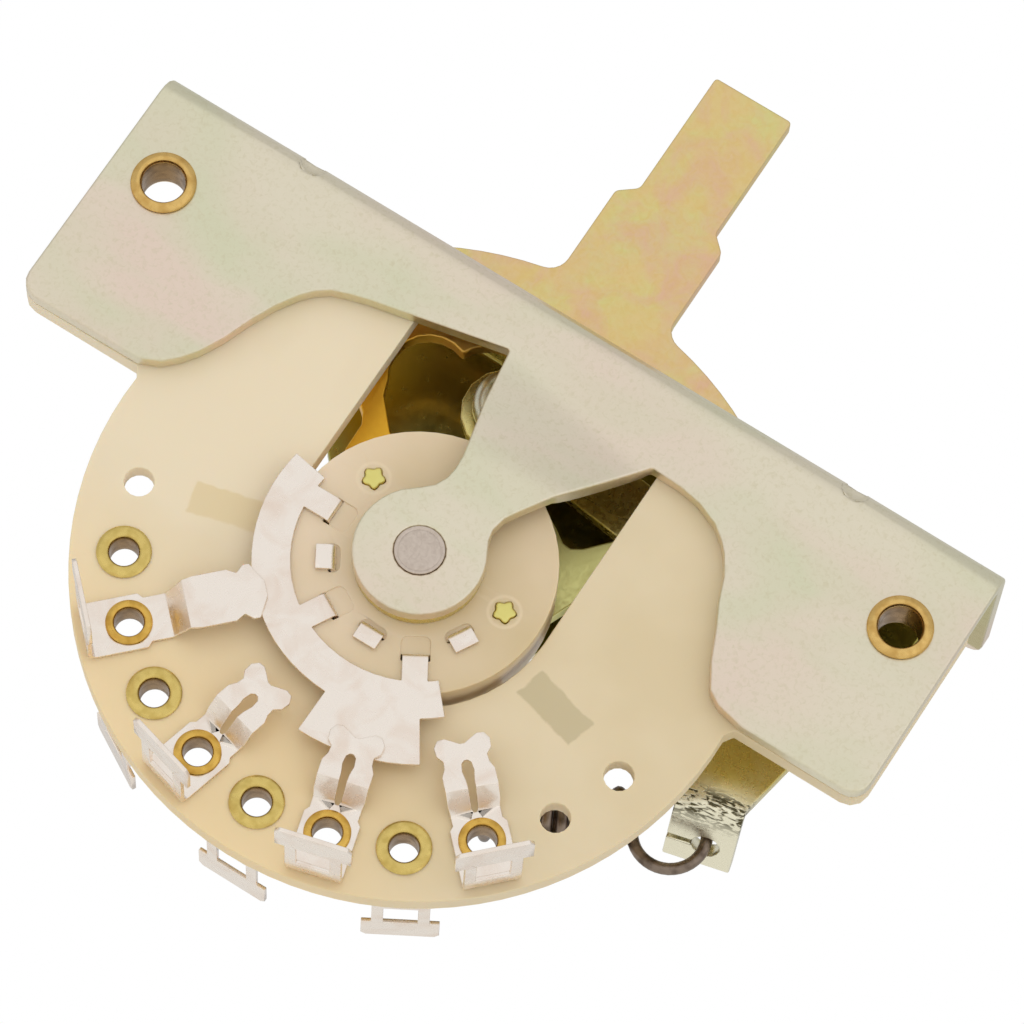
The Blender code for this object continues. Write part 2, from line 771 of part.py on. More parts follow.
def make_terminal(k, pole, front):
    """One stamped terminal: a flat pad, its contact set off the wafer by a short ramp, and a
    folded lug."""
    blank, eye = with_lug(pole_outline() if pole else clip_outline())
    loops = [blank, eye, circle((0, 0), EYELET_BARREL + TOUCHING, 16)]
    if not pole:
        loops.append(clip_slot())
    name = "terminal_%s_%s" % ("front" if front else "rear", tag(k))
    terminal = extruded(name, loops, 0, TERMINAL_SHEET, "Z")
    lift_sheet(terminal, *(POLE_RAMP if pole else CLIP_RAMP), CONTACT_LIFT)
    root = TERMINAL_RADIUS - LUG_RADIUS
    fold_sheet(terminal, (0, root + 0.4, 0), (0, -1, 0), (0, 0, 1), TERMINAL_SHEET, 0.35)
    place = terminal_place(k, front)
    terminal.data.transform(place)
    if place.determinant() < 0:
        terminal.data.flip_normals()


def terminal_place(k, front):
    """Carries a terminal drawn flat to its hole: u across, v towards the shaft, w off the wafer."""
    angle = 180 - TERMINAL_PITCH * k
    outward = polar(1, angle)
    across = (outward[1], -outward[0])
    x, z = polar(TERMINAL_RADIUS, angle)
    y = WAFER_FRONT - TOUCHING if front else WAFER_BACK + TOUCHING
    off = -1 if front else 1
    return Matrix(
        (
            (across[0], -outward[0], 0, x * MM),
            (0, 0, off, y * MM),
            (across[1], -outward[1], 0, z * MM),
            (0, 0, 0, 1),
        )
    )


# The rotor and its contact rings.


def make_rotor():
    holes = [circle((0, 0), SHAFT_RADIUS + RUNNING, 24)]
    for offset in (-RING_TAB_SPREAD, 0, RING_TAB_SPREAD):
        holes.append(tab_slot(FRONT_RING_MID + offset, FRONT_TAB_FOLD))
        holes.append(tab_slot(REAR_RING_MID + offset, REAR_TAB_FOLD))
    for angle in TANG_ANGLES:
        holes.append(tang_outline(angle, RUNNING))
    return extruded("rotor", [circle((0, 0), ROTOR_RADIUS, 56)] + holes, ROTOR_FRONT, ROTOR_BACK)


def tab_slot(angle, fold):
    """The slot that a ring's tab goes down: longer than the tab is thick, towards the shaft."""
    half = RING_TAB_WIDTH / 2 + 0.1
    top = fold + 0.1
    slot = [(-half, TAB_SLOT_END), (half, TAB_SLOT_END), (half, top), (-half, top)]
    return turned(rounded(slot, [0.4, 0.4, 0, 0], 3), angle)


def tang_outline(angle, clearance):
    """The end of a lever tang, as the staking punch leaves it: a small irregular star."""
    centre = polar(TANG_RADIUS, angle)
    points = []
    for i in range(20):
        turn = 18.0 * i
        x, z = polar(TANG_REACH + 0.13 * math.cos(math.radians(5 * turn)) + clearance, turn)
        points.append((centre[0] + x, centre[1] + z))
    return points


def ring_outline(mid, mirror, tab_end):
    """A contact ring seen flat: an arc, one wider sector and three inward tabs."""

    def at(offset):
        return mid + mirror * offset

    half = RING_SPAN / 2
    points = arc((0, 0), RING_OUTER, at(-half), at(SECTOR_FROM), 2)
    points += arc((0, 0), SECTOR_RADIUS, at(SECTOR_FROM), at(SECTOR_TO), 8)
    points += arc((0, 0), RING_OUTER, at(SECTOR_TO), at(half), 20)
    inner = []
    tab_half = math.degrees(math.asin(RING_TAB_WIDTH / 2 / RING_INNER))
    last = half
    for offset in (RING_TAB_SPREAD, 0, -RING_TAB_SPREAD):
        inner += arc((0, 0), RING_INNER, at(last), at(offset + tab_half), 2 if last == half else 8)
        tab = [(mirror * RING_TAB_WIDTH / 2, tab_end), (-mirror * RING_TAB_WIDTH / 2, tab_end)]
        inner += turned(tab, at(offset))
        last = offset - tab_half
    inner += arc((0, 0), RING_INNER, at(last), at(-half), 2)
    return points + inner


def make_ring(name, mid, mirror, front):
    """A stamped ring whose three inward tabs fold through the rotor. The front ring's tabs end
    there. The rear ring's come out in front and are clinched outwards, which holds the stack."""
    low = ROTOR_FRONT - TOUCHING - RING_SHEET if front else ROTOR_BACK + TOUCHING
    fold = FRONT_TAB_FOLD if front else REAR_TAB_FOLD
    through = (0, 1, 0) if front else (0, -1, 0)
    inner_radius = 0.1
    tab_end = fold - ROTOR_THICKNESS - 0.2
    ring = extruded(name, [ring_outline(mid, mirror, tab_end)], low, low + RING_SHEET)
    for offset in (-RING_TAB_SPREAD, 0, RING_TAB_SPREAD):
        x, z = polar(1, mid + mirror * offset)
        start = fold + 0.05
        line = (x * start, low, z * start)
        half = RING_TAB_WIDTH / 2 + 0.2
        fold_sheet(ring, line, (-x, 0, -z), through, RING_SHEET, inner_radius, half, 2)
        if front:
            continue
        bend = ROTOR_FRONT - TOUCHING + inner_radius
        outwards = (x, 0, z)
        lengthen_tab(ring, (0, ROTOR_FRONT + 1, 0), through, (z, 0, -x), half, CLINCH_LENGTH)
        fold_sheet(ring, (0, bend, 0), through, outwards, RING_SHEET, inner_radius, half, 3)
    return ring


# The lever.


def lever_outline():
    half_tip, half_neck = 2.95, 4.1
    shift = -0.15
    blade = rounded(
        [
            (half_neck, 22.5),
            (half_neck, 30.6),
            (half_tip + 0.1, 31.6),
            (half_tip + 0.1, LEVER_TIP),
            (-half_tip + 0.1, LEVER_TIP),
            (-half_tip + 0.1, 31.6),
            (-half_neck, 30.6),
            (-half_neck, 22.5),
        ],
        [0, 0.5, 0.6, 0.25, 0.25, 0.6, 0.5, 0],
        3,
    )
    blade = [(x + shift, z) for x, z in blade][1:-1]
    fillet = 1.4
    reach = HUMP_RADIUS + fillet
    angle = math.degrees(math.asin((half_neck + fillet + shift) / reach))
    other = math.degrees(math.asin((half_neck + fillet - shift) / reach))
    right_centre = polar(reach, angle)
    left_centre = polar(reach, -other)
    right = arc(right_centre, fillet, 270, 180 + angle, 5)
    left = arc(left_centre, fillet, 180 - other, 90, 5)
    hump_right = arc((0, 0), HUMP_RADIUS, angle, HUMP_HALF_ANGLE - 3.2, 10)
    hump_left = arc((0, 0), HUMP_RADIUS, -HUMP_HALF_ANGLE + 3.2, -other, 10)
    flank = [
        polar(HUMP_RADIUS - 0.4, HUMP_HALF_ANGLE - 1.0), polar(HUMP_RADIUS - 1.3, HUMP_HALF_ANGLE),
        (9.6, 8.35), (9.2, 7.6), (9.15, 5.6), (8.95, 4.83), (8.39, 3.56), (7.9, 2.4), (7.6, 0.9),
    ]
    hub = arc((0, 0), 7.65, 83, 277, 20)[1:-1]
    left_flank = [(-x, z) for x, z in flank[::-1]]
    around = right + hump_right + flank + hub + left_flank + hump_left + left
    return blade + around[::-1]


def window_outline():
    """The index window: scallops along its top, radial sides with room for the ball beyond the
    end scallops, and a curved bottom."""
    half = (SCALLOP_COUNT - 1) / 2
    last = half * SCALLOP_PITCH + math.degrees(math.asin(SCALLOP_RADIUS / SCALLOP_CENTRE))
    side = last + WINDOW_EASE
    tangent = math.sqrt(SCALLOP_CENTRE**2 - SCALLOP_RADIUS**2)
    flank = [
        polar(WINDOW_BOTTOM + 0.35, side - 1.2),
        polar(WINDOW_BOTTOM + 1.1, side),
        polar(tangent - 1.2, side),
        polar(tangent, last),
    ]
    points = arc((0, 0), WINDOW_BOTTOM, side - 4, -side + 4, 12)
    points += [(-x, z) for x, z in flank]
    half_cusp = math.radians(SCALLOP_PITCH / 2)
    reach = SCALLOP_CENTRE * math.cos(half_cusp) + math.sqrt(
        SCALLOP_RADIUS**2 - (SCALLOP_CENTRE * math.sin(half_cusp)) ** 2
    )
    meet = math.degrees(
        math.atan2(reach * math.sin(half_cusp), reach * math.cos(half_cusp) - SCALLOP_CENTRE)
    )
    for i in range(SCALLOP_COUNT):
        angle = (i - half) * SCALLOP_PITCH
        start = angle + (-90 if i == 0 else 3 - meet)
        end = angle + (90 if i == SCALLOP_COUNT - 1 else meet - 3)
        points += arc(polar(SCALLOP_CENTRE, angle), SCALLOP_RADIUS, start, end, 8)
    return points + flank[:-1][::-1]


def make_lever():
    hub = circle((0, 0), SHAFT_RADIUS + RUNNING, 24)
    loops = [lever_outline(), window_outline(), hub]
    lever = extruded("lever", loops, LEVER_FRONT, LEVER_FRONT + LEVER_THICKNESS)
    low, high = ROTOR_FRONT - 0.15, LEVER_FRONT + 0.5
    for i, angle in enumerate(TANG_ANGLES):
        tang = extruded("join_tang_%d" % i, [tang_outline(angle, 0)], low, high, helper=True)
        boolean(lever, tang, "UNION")


# Shaft, spacers, index arm, ball and spring.


def make_shaft():
    """The pivot: its front end is staked flush in the boss, its rear end riveted over."""
    front = -BOSS_STEP
    shoulder = front + SHEET + TOUCHING
    rear = FRAME_DEPTH + TOUCHING
    rear_shoulder = FRAME_DEPTH - SHEET - TOUCHING
    profile = [
        (0.0, front - 0.05),
        (0.85, front - 0.05),
        (1.0, front + 0.1),
        (1.15, front - 0.05),
        (STUB_RADIUS - 0.1, front - 0.05),
        (STUB_RADIUS, front + 0.05),
        (STUB_RADIUS, shoulder),
        (SHAFT_RADIUS, shoulder),
        (SHAFT_RADIUS, rear_shoulder),
        (STUB_RADIUS, rear_shoulder),
        (STUB_RADIUS, rear),
        (STUB_RADIUS + 1.1, rear),
        (STUB_RADIUS + 1.1, rear + 0.4),
        (STUB_RADIUS + 0.4, rear + 0.9),
        (0.0, rear + 1.0),
    ]
    turned_solid("pivot_shaft", profile, (0, 0), 18)


def washer(name, outer, low, high):
    """A ring on the shaft."""
    inner = SHAFT_RADIUS + RUNNING
    turned_solid(name, [(inner, low), (outer, low), (outer, high), (inner, high)], (0, 0), 18)


def make_spacers():
    gap = TOUCHING
    boss_back = -BOSS_STEP + SHEET
    lever_back = LEVER_FRONT + LEVER_THICKNESS
    washer("front_washer", FRONT_WASHER_RADIUS, boss_back + 2 * gap, ROTOR_FRONT - gap)
    washer("hub_spacer", HUB_SPACER_RADIUS, ROTOR_BACK + gap, LEVER_FRONT - gap)
    washer("rear_spacer", REAR_SPACER_RADIUS, lever_back + gap, FRAME_DEPTH - SHEET - 2 * gap)


def make_arm():
    """The index arm: a beam to the ball, an eye on its pin, and a leg whose foot is folded back
    into a tab. The tab's hole takes the spring's hook and is slit to the tab's left edge."""
    pivot = Vector(ARM_PIVOT)
    ball = Vector(polar(BALL_DISTANCE, BALL_ANGLE))
    along = (pivot - ball).normalized()
    up = Vector((-along.y, along.x))
    leg = Vector(polar(1, 180 - ARM_LEG_TILT))
    side = Vector((-leg.y, leg.x))
    foot = Vector(ARM_FOOT)
    inner = 0.4
    fold_length = (inner + ARM_SHEET / 2) * math.radians(ARM_TAB_FOLD)
    end = foot + leg * (fold_length + ARM_TAB_FLAT)
    slope = math.degrees(math.atan2(along.x, along.y))
    half = side * ARM_LEG_HALF
    outline = arc(ball, 3.1, slope + 42, slope + 318, 12)
    outline += [pivot - along * 6.5 + up * 2.2, pivot - along * 0.5 + up * 2.9]
    outline += arc(ARM_PIVOT, 2.9, slope - 60, slope + 20, 5)
    outline += [foot + half, end + half, end - half]
    outline += slit_eye(foot + leg * (fold_length + ARM_EYE_AT), leg, side)
    outline += [foot - half, pivot - along * 2.4 - up * 4.2, pivot - along * 5.4 - up * 2.0]
    hole = circle(ARM_PIVOT, ARM_PIN_RADIUS + RUNNING, 16)
    seat = circle(ball, BALL_RADIUS - 0.13, 20)
    arm = extruded("index_arm", [outline, hole, seat], ARM_FRONT, ARM_FRONT + ARM_SHEET)
    line = (foot.x, ARM_FRONT, foot.y)
    away = (leg.x, 0, leg.y)
    fold_sheet(arm, line, away, (0, 1, 0), ARM_SHEET, inner, steps=4, angle=ARM_TAB_FOLD)
    set_origin(arm, ARM_PIVOT)


def slit_eye(level, leg, side):
    """The edge of the tab's hole, entered and left by a narrow slit from the tab's left edge."""
    eye = level + side * ARM_EYE_ASIDE
    edge = level - side * ARM_LEG_HALF
    half_slit = 0.2
    lip = math.asin(half_slit / ARM_EYE_RADIUS)
    points = [edge + leg * half_slit]
    for i in range(13):
        turn = lip + (2 * math.pi - 2 * lip) * i / 12
        points.append(eye + (leg * math.sin(turn) - side * math.cos(turn)) * ARM_EYE_RADIUS)
    return points + [edge - leg * half_slit]


def make_arm_pin():
    """The pin the arm turns on: a head, the journal, a shoulder and an end riveted over."""
    arm_back = ARM_FRONT + ARM_SHEET
    shoulder = FRAME_DEPTH - SHEET - TOUCHING
    rear = FRAME_DEPTH + TOUCHING
    stub = ARM_PIN_RADIUS - PIN_SHOULDER
    profile = [
        (0.0, ARM_FRONT - 0.75),
        (1.3, ARM_FRONT - 0.7),
        (1.75, ARM_FRONT - 0.45),
        (1.75, ARM_FRONT - TOUCHING),
        (ARM_PIN_RADIUS, ARM_FRONT - TOUCHING),
        (ARM_PIN_RADIUS, arm_back + TOUCHING),
        (1.8, arm_back + TOUCHING),
        (1.8, shoulder),
        (stub, shoulder),
        (stub, rear),
        (stub + 0.6, rear),
        (stub + 0.6, rear + 0.3),
        (stub + 0.2, rear + 0.55),
        (0.0, rear + 0.6),
    ]
    turned_solid("arm_pin", profile, ARM_PIVOT, 14)


def make_ball():
    mesh = bpy.data.meshes.new("index_ball")
    work = bmesh.new()
    bmesh.ops.create_uvsphere(work, u_segments=18, v_segments=10, radius=BALL_RADIUS * MM)
    x, z = polar(BALL_DISTANCE, BALL_ANGLE)
    bmesh.ops.translate(work, verts=work.verts, vec=Vector((x, LEVER_MID, z)) * MM)
    work.to_mesh(mesh)
    work.free()
    set_origin(add_object("index_ball", mesh, smooth=True), ARM_PIVOT)


def spring_points():
    """The middle of the wire: a hook, a close coil and a second hook."""
    start = Vector((SPRING_START[0], SPRING_Y, SPRING_START[1]))
    end = Vector((SPRING_END[0], SPRING_Y, SPRING_END[1]))
    along = (end - start).normalized()
    across = Vector((0, 1, 0))
    up = Vector((along.z, 0, -along.x))
    steps = 9
    total = round((end - start).length / SPRING_PITCH) * steps
    points = hook(start - along * HOOK_REACH, -along, up, 50, -180, 14)
    points.append(start - along * 1.35 + up * 1.2 - across * 0.25)
    points.append(start - along * 0.85 + up * 1.95 - across * 0.35)
    points.append(start - along * 0.35 + up * 2.35 - across * 0.1)
    for i in range(2, total - 1):
        turn = 2 * math.pi * i / steps
        offset = up * math.cos(turn) + across * math.sin(turn)
        points.append(start.lerp(end, i / total) + offset * SPRING_RADIUS)
    points.append(end + along * 0.35 + up * 2.35 + across * 0.1)
    points.append(end + along * 0.85 + up * 2.0 + across * 0.1)
    return points + hook(end + along * HOOK_REACH, along, up, 130, -25, 12)


def hook(centre, outward, up, start, end, count):
    """Points round the eye at one end of the spring."""
    points = []
    for i in range(count):
        turn = math.radians(start + (end - start) * i / (count - 1))
        points.append(centre + (outward * math.cos(turn) + up * math.sin(turn)) * HOOK_RADIUS)
    return points


def make_spring():
    curve = bpy.data.curves.new("index_spring", "CURVE")
    curve.dimensions = "3D"
    curve.bevel_depth = SPRING_WIRE * MM
    curve.bevel_resolution = 2
    curve.use_fill_caps = True
    spline = curve.splines.new("POLY")
    points = spring_points()
    spline.points.add(len(points) - 1)
    for target, point in zip(spline.points, points):
        target.co = (*(point * MM), 1.0)
    obj = bpy.data.objects.new("index_spring", curve)
    obj.location = HUB
    PARTS.objects.link(obj)


def colour_pieces():
    zinc = material("zinc_plate", (0.63, 0.60, 0.50), 0.9, 0.32)
    chromate = material("yellow_chromate", (0.66, 0.52, 0.22), 0.85, 0.35)
    paper = material("laminate", (0.80, 0.66, 0.43), 0.0, 0.5)
    moulded = material("rotor_board", (0.73, 0.66, 0.58), 0.0, 0.5)
    silver = material("silver_plate", (0.85, 0.80, 0.78), 0.9, 0.3)
    brass = material("eyelet_brass", (0.83, 0.62, 0.25), 0.95, 0.25)
    steel = material("bright_steel", (0.55, 0.54, 0.50), 1.0, 0.2)
    wire = material("spring_wire", (0.21, 0.17, 0.14), 1.0, 0.35)
    for obj in PARTS.objects:
        name = obj.name
        if name.startswith("terminal_eyelet") or name.startswith("frame_eyelet"):
            used = brass
        elif name.startswith("terminal") or name.endswith("ring") and name != "index_spring":
            used = silver
        elif name == "frame" or name == "index_arm":
            used = zinc
        elif name == "lever":
            used = chromate
        elif name == "wafer":
            used = paper
        elif name == "rotor":
            used = moulded
        elif name == "index_spring":
            used = wire
        else:
            used = steel
        obj.data.materials.clear()
        obj.data.materials.append(used)


def main():
    make_frame()
    make_wafer()
    make_rotor()
    make_ring("front_ring", FRONT_RING_MID, 1, True)
    make_ring("rear_ring", REAR_RING_MID, -1, False)
    for k in FRONT_CLIPS:
        make_terminal(k, False, True)
    make_terminal(FRONT_POLE, True, True)
    for k in REAR_CLIPS:
        make_terminal(k, False, False)
    make_terminal(REAR_POLE, True, False)
    for k in range(-5, 6):
        if k not in BARE_HOLES:
            make_eyelet(k)
    make_frame_eyelet(-1, "left")
    make_frame_eyelet(1, "right")
    make_lever()
    make_shaft()
    make_spacers()
    make_arm()
    make_arm_pin()
    make_ball()
    make_spring()
    colour_pieces()


clear_scene()
PARTS = new_collection("lever_selector_switch", False)
HELPERS = new_collection("cutters_and_joins", True)
main()
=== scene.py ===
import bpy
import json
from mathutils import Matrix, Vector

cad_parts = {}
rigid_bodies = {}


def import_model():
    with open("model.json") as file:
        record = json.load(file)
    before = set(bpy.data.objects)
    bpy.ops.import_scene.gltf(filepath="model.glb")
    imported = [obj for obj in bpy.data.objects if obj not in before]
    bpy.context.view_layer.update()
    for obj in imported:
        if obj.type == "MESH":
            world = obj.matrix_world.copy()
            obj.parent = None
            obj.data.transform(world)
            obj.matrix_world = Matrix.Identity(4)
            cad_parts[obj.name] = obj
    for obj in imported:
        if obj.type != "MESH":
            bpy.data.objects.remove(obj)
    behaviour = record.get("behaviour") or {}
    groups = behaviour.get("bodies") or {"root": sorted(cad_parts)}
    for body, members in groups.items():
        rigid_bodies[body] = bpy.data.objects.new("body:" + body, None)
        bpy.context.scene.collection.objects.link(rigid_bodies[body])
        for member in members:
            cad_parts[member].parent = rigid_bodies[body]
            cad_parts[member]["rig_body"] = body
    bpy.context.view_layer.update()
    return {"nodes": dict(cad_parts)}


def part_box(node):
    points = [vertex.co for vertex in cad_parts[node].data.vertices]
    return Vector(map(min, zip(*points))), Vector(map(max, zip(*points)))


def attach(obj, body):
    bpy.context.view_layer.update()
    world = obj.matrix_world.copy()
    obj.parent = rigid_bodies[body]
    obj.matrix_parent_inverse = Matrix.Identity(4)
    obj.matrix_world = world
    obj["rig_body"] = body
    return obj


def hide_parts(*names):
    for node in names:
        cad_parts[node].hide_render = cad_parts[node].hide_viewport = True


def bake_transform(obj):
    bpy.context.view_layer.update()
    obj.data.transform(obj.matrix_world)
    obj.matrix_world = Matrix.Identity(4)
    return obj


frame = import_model()

import json
import math

import bpy
from bpy.props import FloatProperty, FloatVectorProperty, IntProperty, PointerProperty
from mathutils import Matrix, Vector

bl_info = {
    "name": "Guitar Pickup Selector Switch",
    "version": (1, 0, 0),
    "blender": (4, 5, 0),
    "location": "3D View > Sidebar > Switch",
    "description": "Gives the pickup selector switch its finishes and its fine pieces",
    "category": "Object",
}

MM = 0.001
# Points nearer than this are one point, and faces with less of an angle between them are one face.
WELD = 0.000002
COPLANAR = math.radians(0.5)
# Edges are rounded above the first of these angles, and shaded smooth below the second.
BEVEL_ABOVE = math.radians(40)
SMOOTH_BELOW = math.radians(38)

# The frame's origin lies at the middle of the lever slot; the lever turns about this line.
HUB = Vector((0.0, -5.95, -19.79)) * MM
# The camera that the photograph was taken with, worked out from the switch's own corners.
CAMERA_PLACE = Vector((71.50, -390.74, -143.85)) * MM
CAMERA_RIGHT = Vector((0.84297, -0.03178, 0.53701))
CAMERA_UP = Vector((-0.51172, -0.35529, 0.78225))
CAMERA_LENS = 228.1
SENSOR = 36.0
# Filling in the rotor's slots, from inside the board to just short of the ring's tab: distances
# from the shaft's middle, with each slot's turn in degrees from straight up, clockwise from the
# front. The filling stays this far under both faces.
SLOT_START = 4.8 * MM
SLOT_WIDTH = 2.1 * MM
POCKET_DEPTH = 0.1 * MM
SLOT_ENDS = (
    (149.25, 6.2 * MM), (209.25, 6.2 * MM), (269.25, 6.2 * MM),
    (119.5, 5.55 * MM), (179.5, 5.55 * MM), (239.5, 5.55 * MM),
)
# Where a finish or a painted shade changes: none of the change at the first number, and all of it at
# the second.
PLATE_BACK = (-4.8 * MM, -4.4 * MM)
LEG_FACE = (6.2 * MM, 5.9 * MM)
FLANGE_UNDERSIDE = (-1.0 * MM, -1.3 * MM)
FLANGE_SHADE_DEEPENS = (-0.5 * MM, -6.0 * MM)
FLANGE_SHADE_TURNS_GREEN = (0.0, 5.0 * MM)
PEG_ENDS = (-3.2 * MM, -3.6 * MM)
WARM_SHADE_BELOW = (-25.0 * MM, -34.0 * MM)
WARM_SHADE_LEFT = (14.0 * MM, 4.0 * MM)
ARM_LEG_STARTS = (18.0 * MM, 19.0 * MM)
# How much smoother the frame is inside its folds, and half the width over which a board's tint
# turns from one side's to the other's.
INSIDE_GLOSS = 0.16
BOARD_REACH = 16 * MM
# The wafer's two painted shadows, of metal behind the translucent board: place across, turn in
# degrees and colour, with their common height and half sizes.
SEEN_THROUGH_SHADOWS = ((-12.4 * MM, 15, "#e6d2a8"), (12.3 * MM, -15, "#cdbd97"))
SHADOW_PATCH_HEIGHT = -23.0 * MM
SHADOW_PATCH_HALVES = (2.35 * MM, 1.05 * MM)
# The lever's pegs, from the hub, and the ring that the staking tool left about each, which is
# painted lighter as a highlight.
PEG_PLACES = ((-5.48 * MM, 3.20 * MM), (6.35 * MM, 0.11 * MM))
STAKING_RADIUS = 1.05 * MM
# The middle of the bend in the index arm's leg, and the leg's turn in degrees.
ARM_FOLD = (23.25 * MM, 0.0, -21.3 * MM)
ARM_LEG_TURN = 14
# An eyelet's lip from its bore out: share of the collar's width, and share of the lip's height.
# It starts this many lip heights down the bore.
LIP_SHAPE = (
    (0.02, 0.1), (0.09, 0.62), (0.2, 0.92), (0.32, 1.0), (0.48, 0.93), (0.78, 0.68), (0.93, 0.5),
    (1.0, 0.22), (0.97, 0.0),
)
BORE_START = 1.2
# The ball's outline from pole to pole has this many straight steps.
BALL_STEPS = 24
# The soft lamps' distances from the hub and sides in metres, and their powers in watts. The first
# stands where a flat front face mirrors it, and the second by the camera and to its right.
KEY_DISTANCE, KEY_SIDE, KEY_WATTS = 0.5, 0.7, 0.35
FILL_BACK, FILL_RIGHT, FILL_SIDE, FILL_WATTS = 0.4, 0.45, 0.5, 0.25
# The room's level on matt surfaces, and what glossy ones mirror.
ROOM_LEVEL, MIRRORED_LEVEL = 0.85, 0.62
FLOOR_BELOW_CAMERA = 15 * MM
FLOOR_SIDE = 3.0
# Radius and depth in millimetres, with depth 0 on the frame's front face.
SHAFT_PROFILE = (
    (0.0, -1.99), (1.3, -1.99), (1.38, -1.94), (1.46, -1.99), (1.63, -1.99), (1.63, -0.67),
    (2.0, -0.67), (2.0, 11.66), (1.6, 11.66), (1.6, 12.98), (2.7, 12.98), (2.7, 13.5),
    (1.9, 13.88), (0.0, 13.98),
)
PIN_PROFILE = (
    (0.0, 6.25), (1.3, 6.3), (1.75, 6.55), (1.75, 6.95), (1.0, 6.95), (1.0, 8.15), (1.8, 8.15),
    (1.8, 11.66), (0.8, 11.66), (0.8, 12.98), (1.4, 12.98), (1.4, 13.28), (1.0, 13.53), (0.0, 13.58),
)


def linear(code):
    """An sRGB hex colour such as "#d9d3c0" as linear red, green, blue and alpha."""
    parts = [int(code[at:at + 2], 16) / 255 for at in (1, 3, 5)]
    turned = [part / 12.92 if part <= 0.04045 else ((part + 0.055) / 1.055) ** 2.4 for part in parts]
    return (*turned, 1.0)


def size(name, about, default):
    """A length that can be set in the panel, in metres."""
    return FloatProperty(
        name=name, description=about, default=default, min=0.0, unit="LENGTH", precision=5
    )


def colour(name, about, code):
    """A colour that can be set in the panel."""
    return FloatVectorProperty(
        name=name, description=about, default=linear(code), size=4, min=0.0, max=1.0, subtype="COLOR"
    )


class SwitchSizes(bpy.types.PropertyGroup):
    """The small radii that pressing, punching and turning leave, and the turned pieces' fineness."""

    plate_edge: size("Plate edge", "Rounding of the frame's punched edges", 0.17 * MM)
    blade_edge: size("Blade edge", "Rounding of the edges of the lever and the index arm", 0.12 * MM)
    contact_edge: size("Contact edge", "Rounding of the thin rings and terminals", 0.05 * MM)
    board_edge: size("Board edge", "Rounding of the wafer and the rotor", 0.08 * MM)
    collar_roll: size("Collar roll", "Height of a terminal eyelet's rolled lip", 0.24 * MM)
    rim_roll: size("Rim roll", "Height of a frame eyelet's rolled rim", 0.4 * MM)
    terminal_bore: size("Terminal bore", "Bore radius of a terminal eyelet", 0.93 * MM)
    terminal_barrel: size("Terminal barrel", "Barrel radius of a terminal eyelet", 1.22 * MM)
    terminal_collar: size("Narrow collar", "Width of a terminal eyelet's narrow collar", 0.28 * MM)
    frame_bore: size("Frame bore", "Bore radius of a frame eyelet", 1.4 * MM)
    frame_barrel: size("Frame barrel", "Barrel radius of a frame eyelet", 1.74 * MM)
    turned_edge: size("Turned edge", "Rounding of the shaft, the pin and the washers", 0.1 * MM)
    shaft_bore: size("Shaft bore", "Bore radius of the washer and the spacers", 2.05 * MM)
    turned_steps: IntProperty(
        name="Turned steps", description="Straight steps round a turned piece", default=64, min=12
    )


class SwitchColours(bpy.types.PropertyGroup):
    """The main colour of each finish."""

    zinc: colour("Zinc plate", "Clear zinc plating of the frame", "#ece3cc")
    zinc_warm: colour("Zinc, warm", "Pink tint in the frame's plating", "#efdccb")
    zinc_cool: colour("Zinc, cool", "Green tint in the frame's plating", "#e2e0c2")
    # painted shade: the darker olive inside the frame's folds
    zinc_shade_inside: colour("Zinc, inside", "Olive tint inside the frame's folds", "#a59c55")
    gold: colour("Yellow chromate", "Yellow chromate on the lever", "#ead092")
    gold_rose: colour("Chromate, rose", "Pink cloud in the lever's chromate", "#eac2a0")
    gold_leaf: colour("Chromate, green", "Green cloud in the lever's chromate", "#e0dc94")
    # painted shade and reflected warm light on the lever below the frame's flange
    gold_flange_shade: colour("Chromate, deep", "Thick chromate below the frame's flange", "#ecb53a")
    board: colour("Wafer board", "Cream laminate of the wafer", "#efdfc0")
    board_deep: colour("Wafer board, deep", "Thicker resin in the wafer", "#e0cda6")
    rotor: colour("Rotor board", "Tan laminate of the rotor", "#d4be92")
    rotor_rose: colour("Rotor board, rose", "Pinker side of the rotor", "#efdabe")
    silver: colour("Silver", "Silver plating of the rings and terminals", "#fbf1e6")
    tarnish: colour("Tarnish", "Thin tarnish on the silver", "#f0dccb")
    collar: colour("Collar brass", "Pale brass of the terminal eyelets", "#e2c878")
    brass: colour("Brass", "Golden brass of the frame's eyelets", "#e6c076")
    flare: colour("Flare brass", "Deeper gold where a collar was flared on a terminal", "#e6bb5e")
    # painted shade inside the eyelets' bores
    bore: colour("Bore brass", "Brown, unpolished brass inside the eyelets", "#8f6b35")
    steel: colour("Pivot steel", "Bare steel of the riveted shaft", "#d6c8bb")
    arm: colour("Arm plate", "Bright plating of the index arm", "#dcca74")
    # painted highlight and reflection on the arm's leg from its bend on
    arm_lit_past_bend: colour("Arm plate, pale", "Thin plating past the arm's bend", "#f4efd6")
    wire: colour("Spring wire", "Oil-tempered wire of the index spring", "#8f8073")


def add(tree, kind, inputs=None, **settings):
    """Adds a node, gives it its settings, and fills its sockets with values or links."""
    node = tree.nodes.new(kind)
    for key, value in settings.items():
        setattr(node, key, value)
    for key, value in (inputs or {}).items():
        if isinstance(value, bpy.types.NodeSocket):
            tree.links.new(value, node.inputs[key])
        else:
            node.inputs[key].default_value = value
    return node


def new_material(name, colour_now, metallic, roughness):
    """An empty Principled material: returns it, its tree, its shader and the object coordinates."""
    made = bpy.data.materials.new(name)
    made.use_nodes = True
    made.diffuse_color = colour_now
    tree = made.node_tree
    shader = tree.nodes["Principled BSDF"]
    shader.inputs["Base Color"].default_value = colour_now
    shader.inputs["Metallic"].default_value = metallic
    shader.inputs["Roughness"].default_value = roughness
    place = add(tree, "ShaderNodeTexCoord").outputs["Object"]
    return made, tree, shader, place


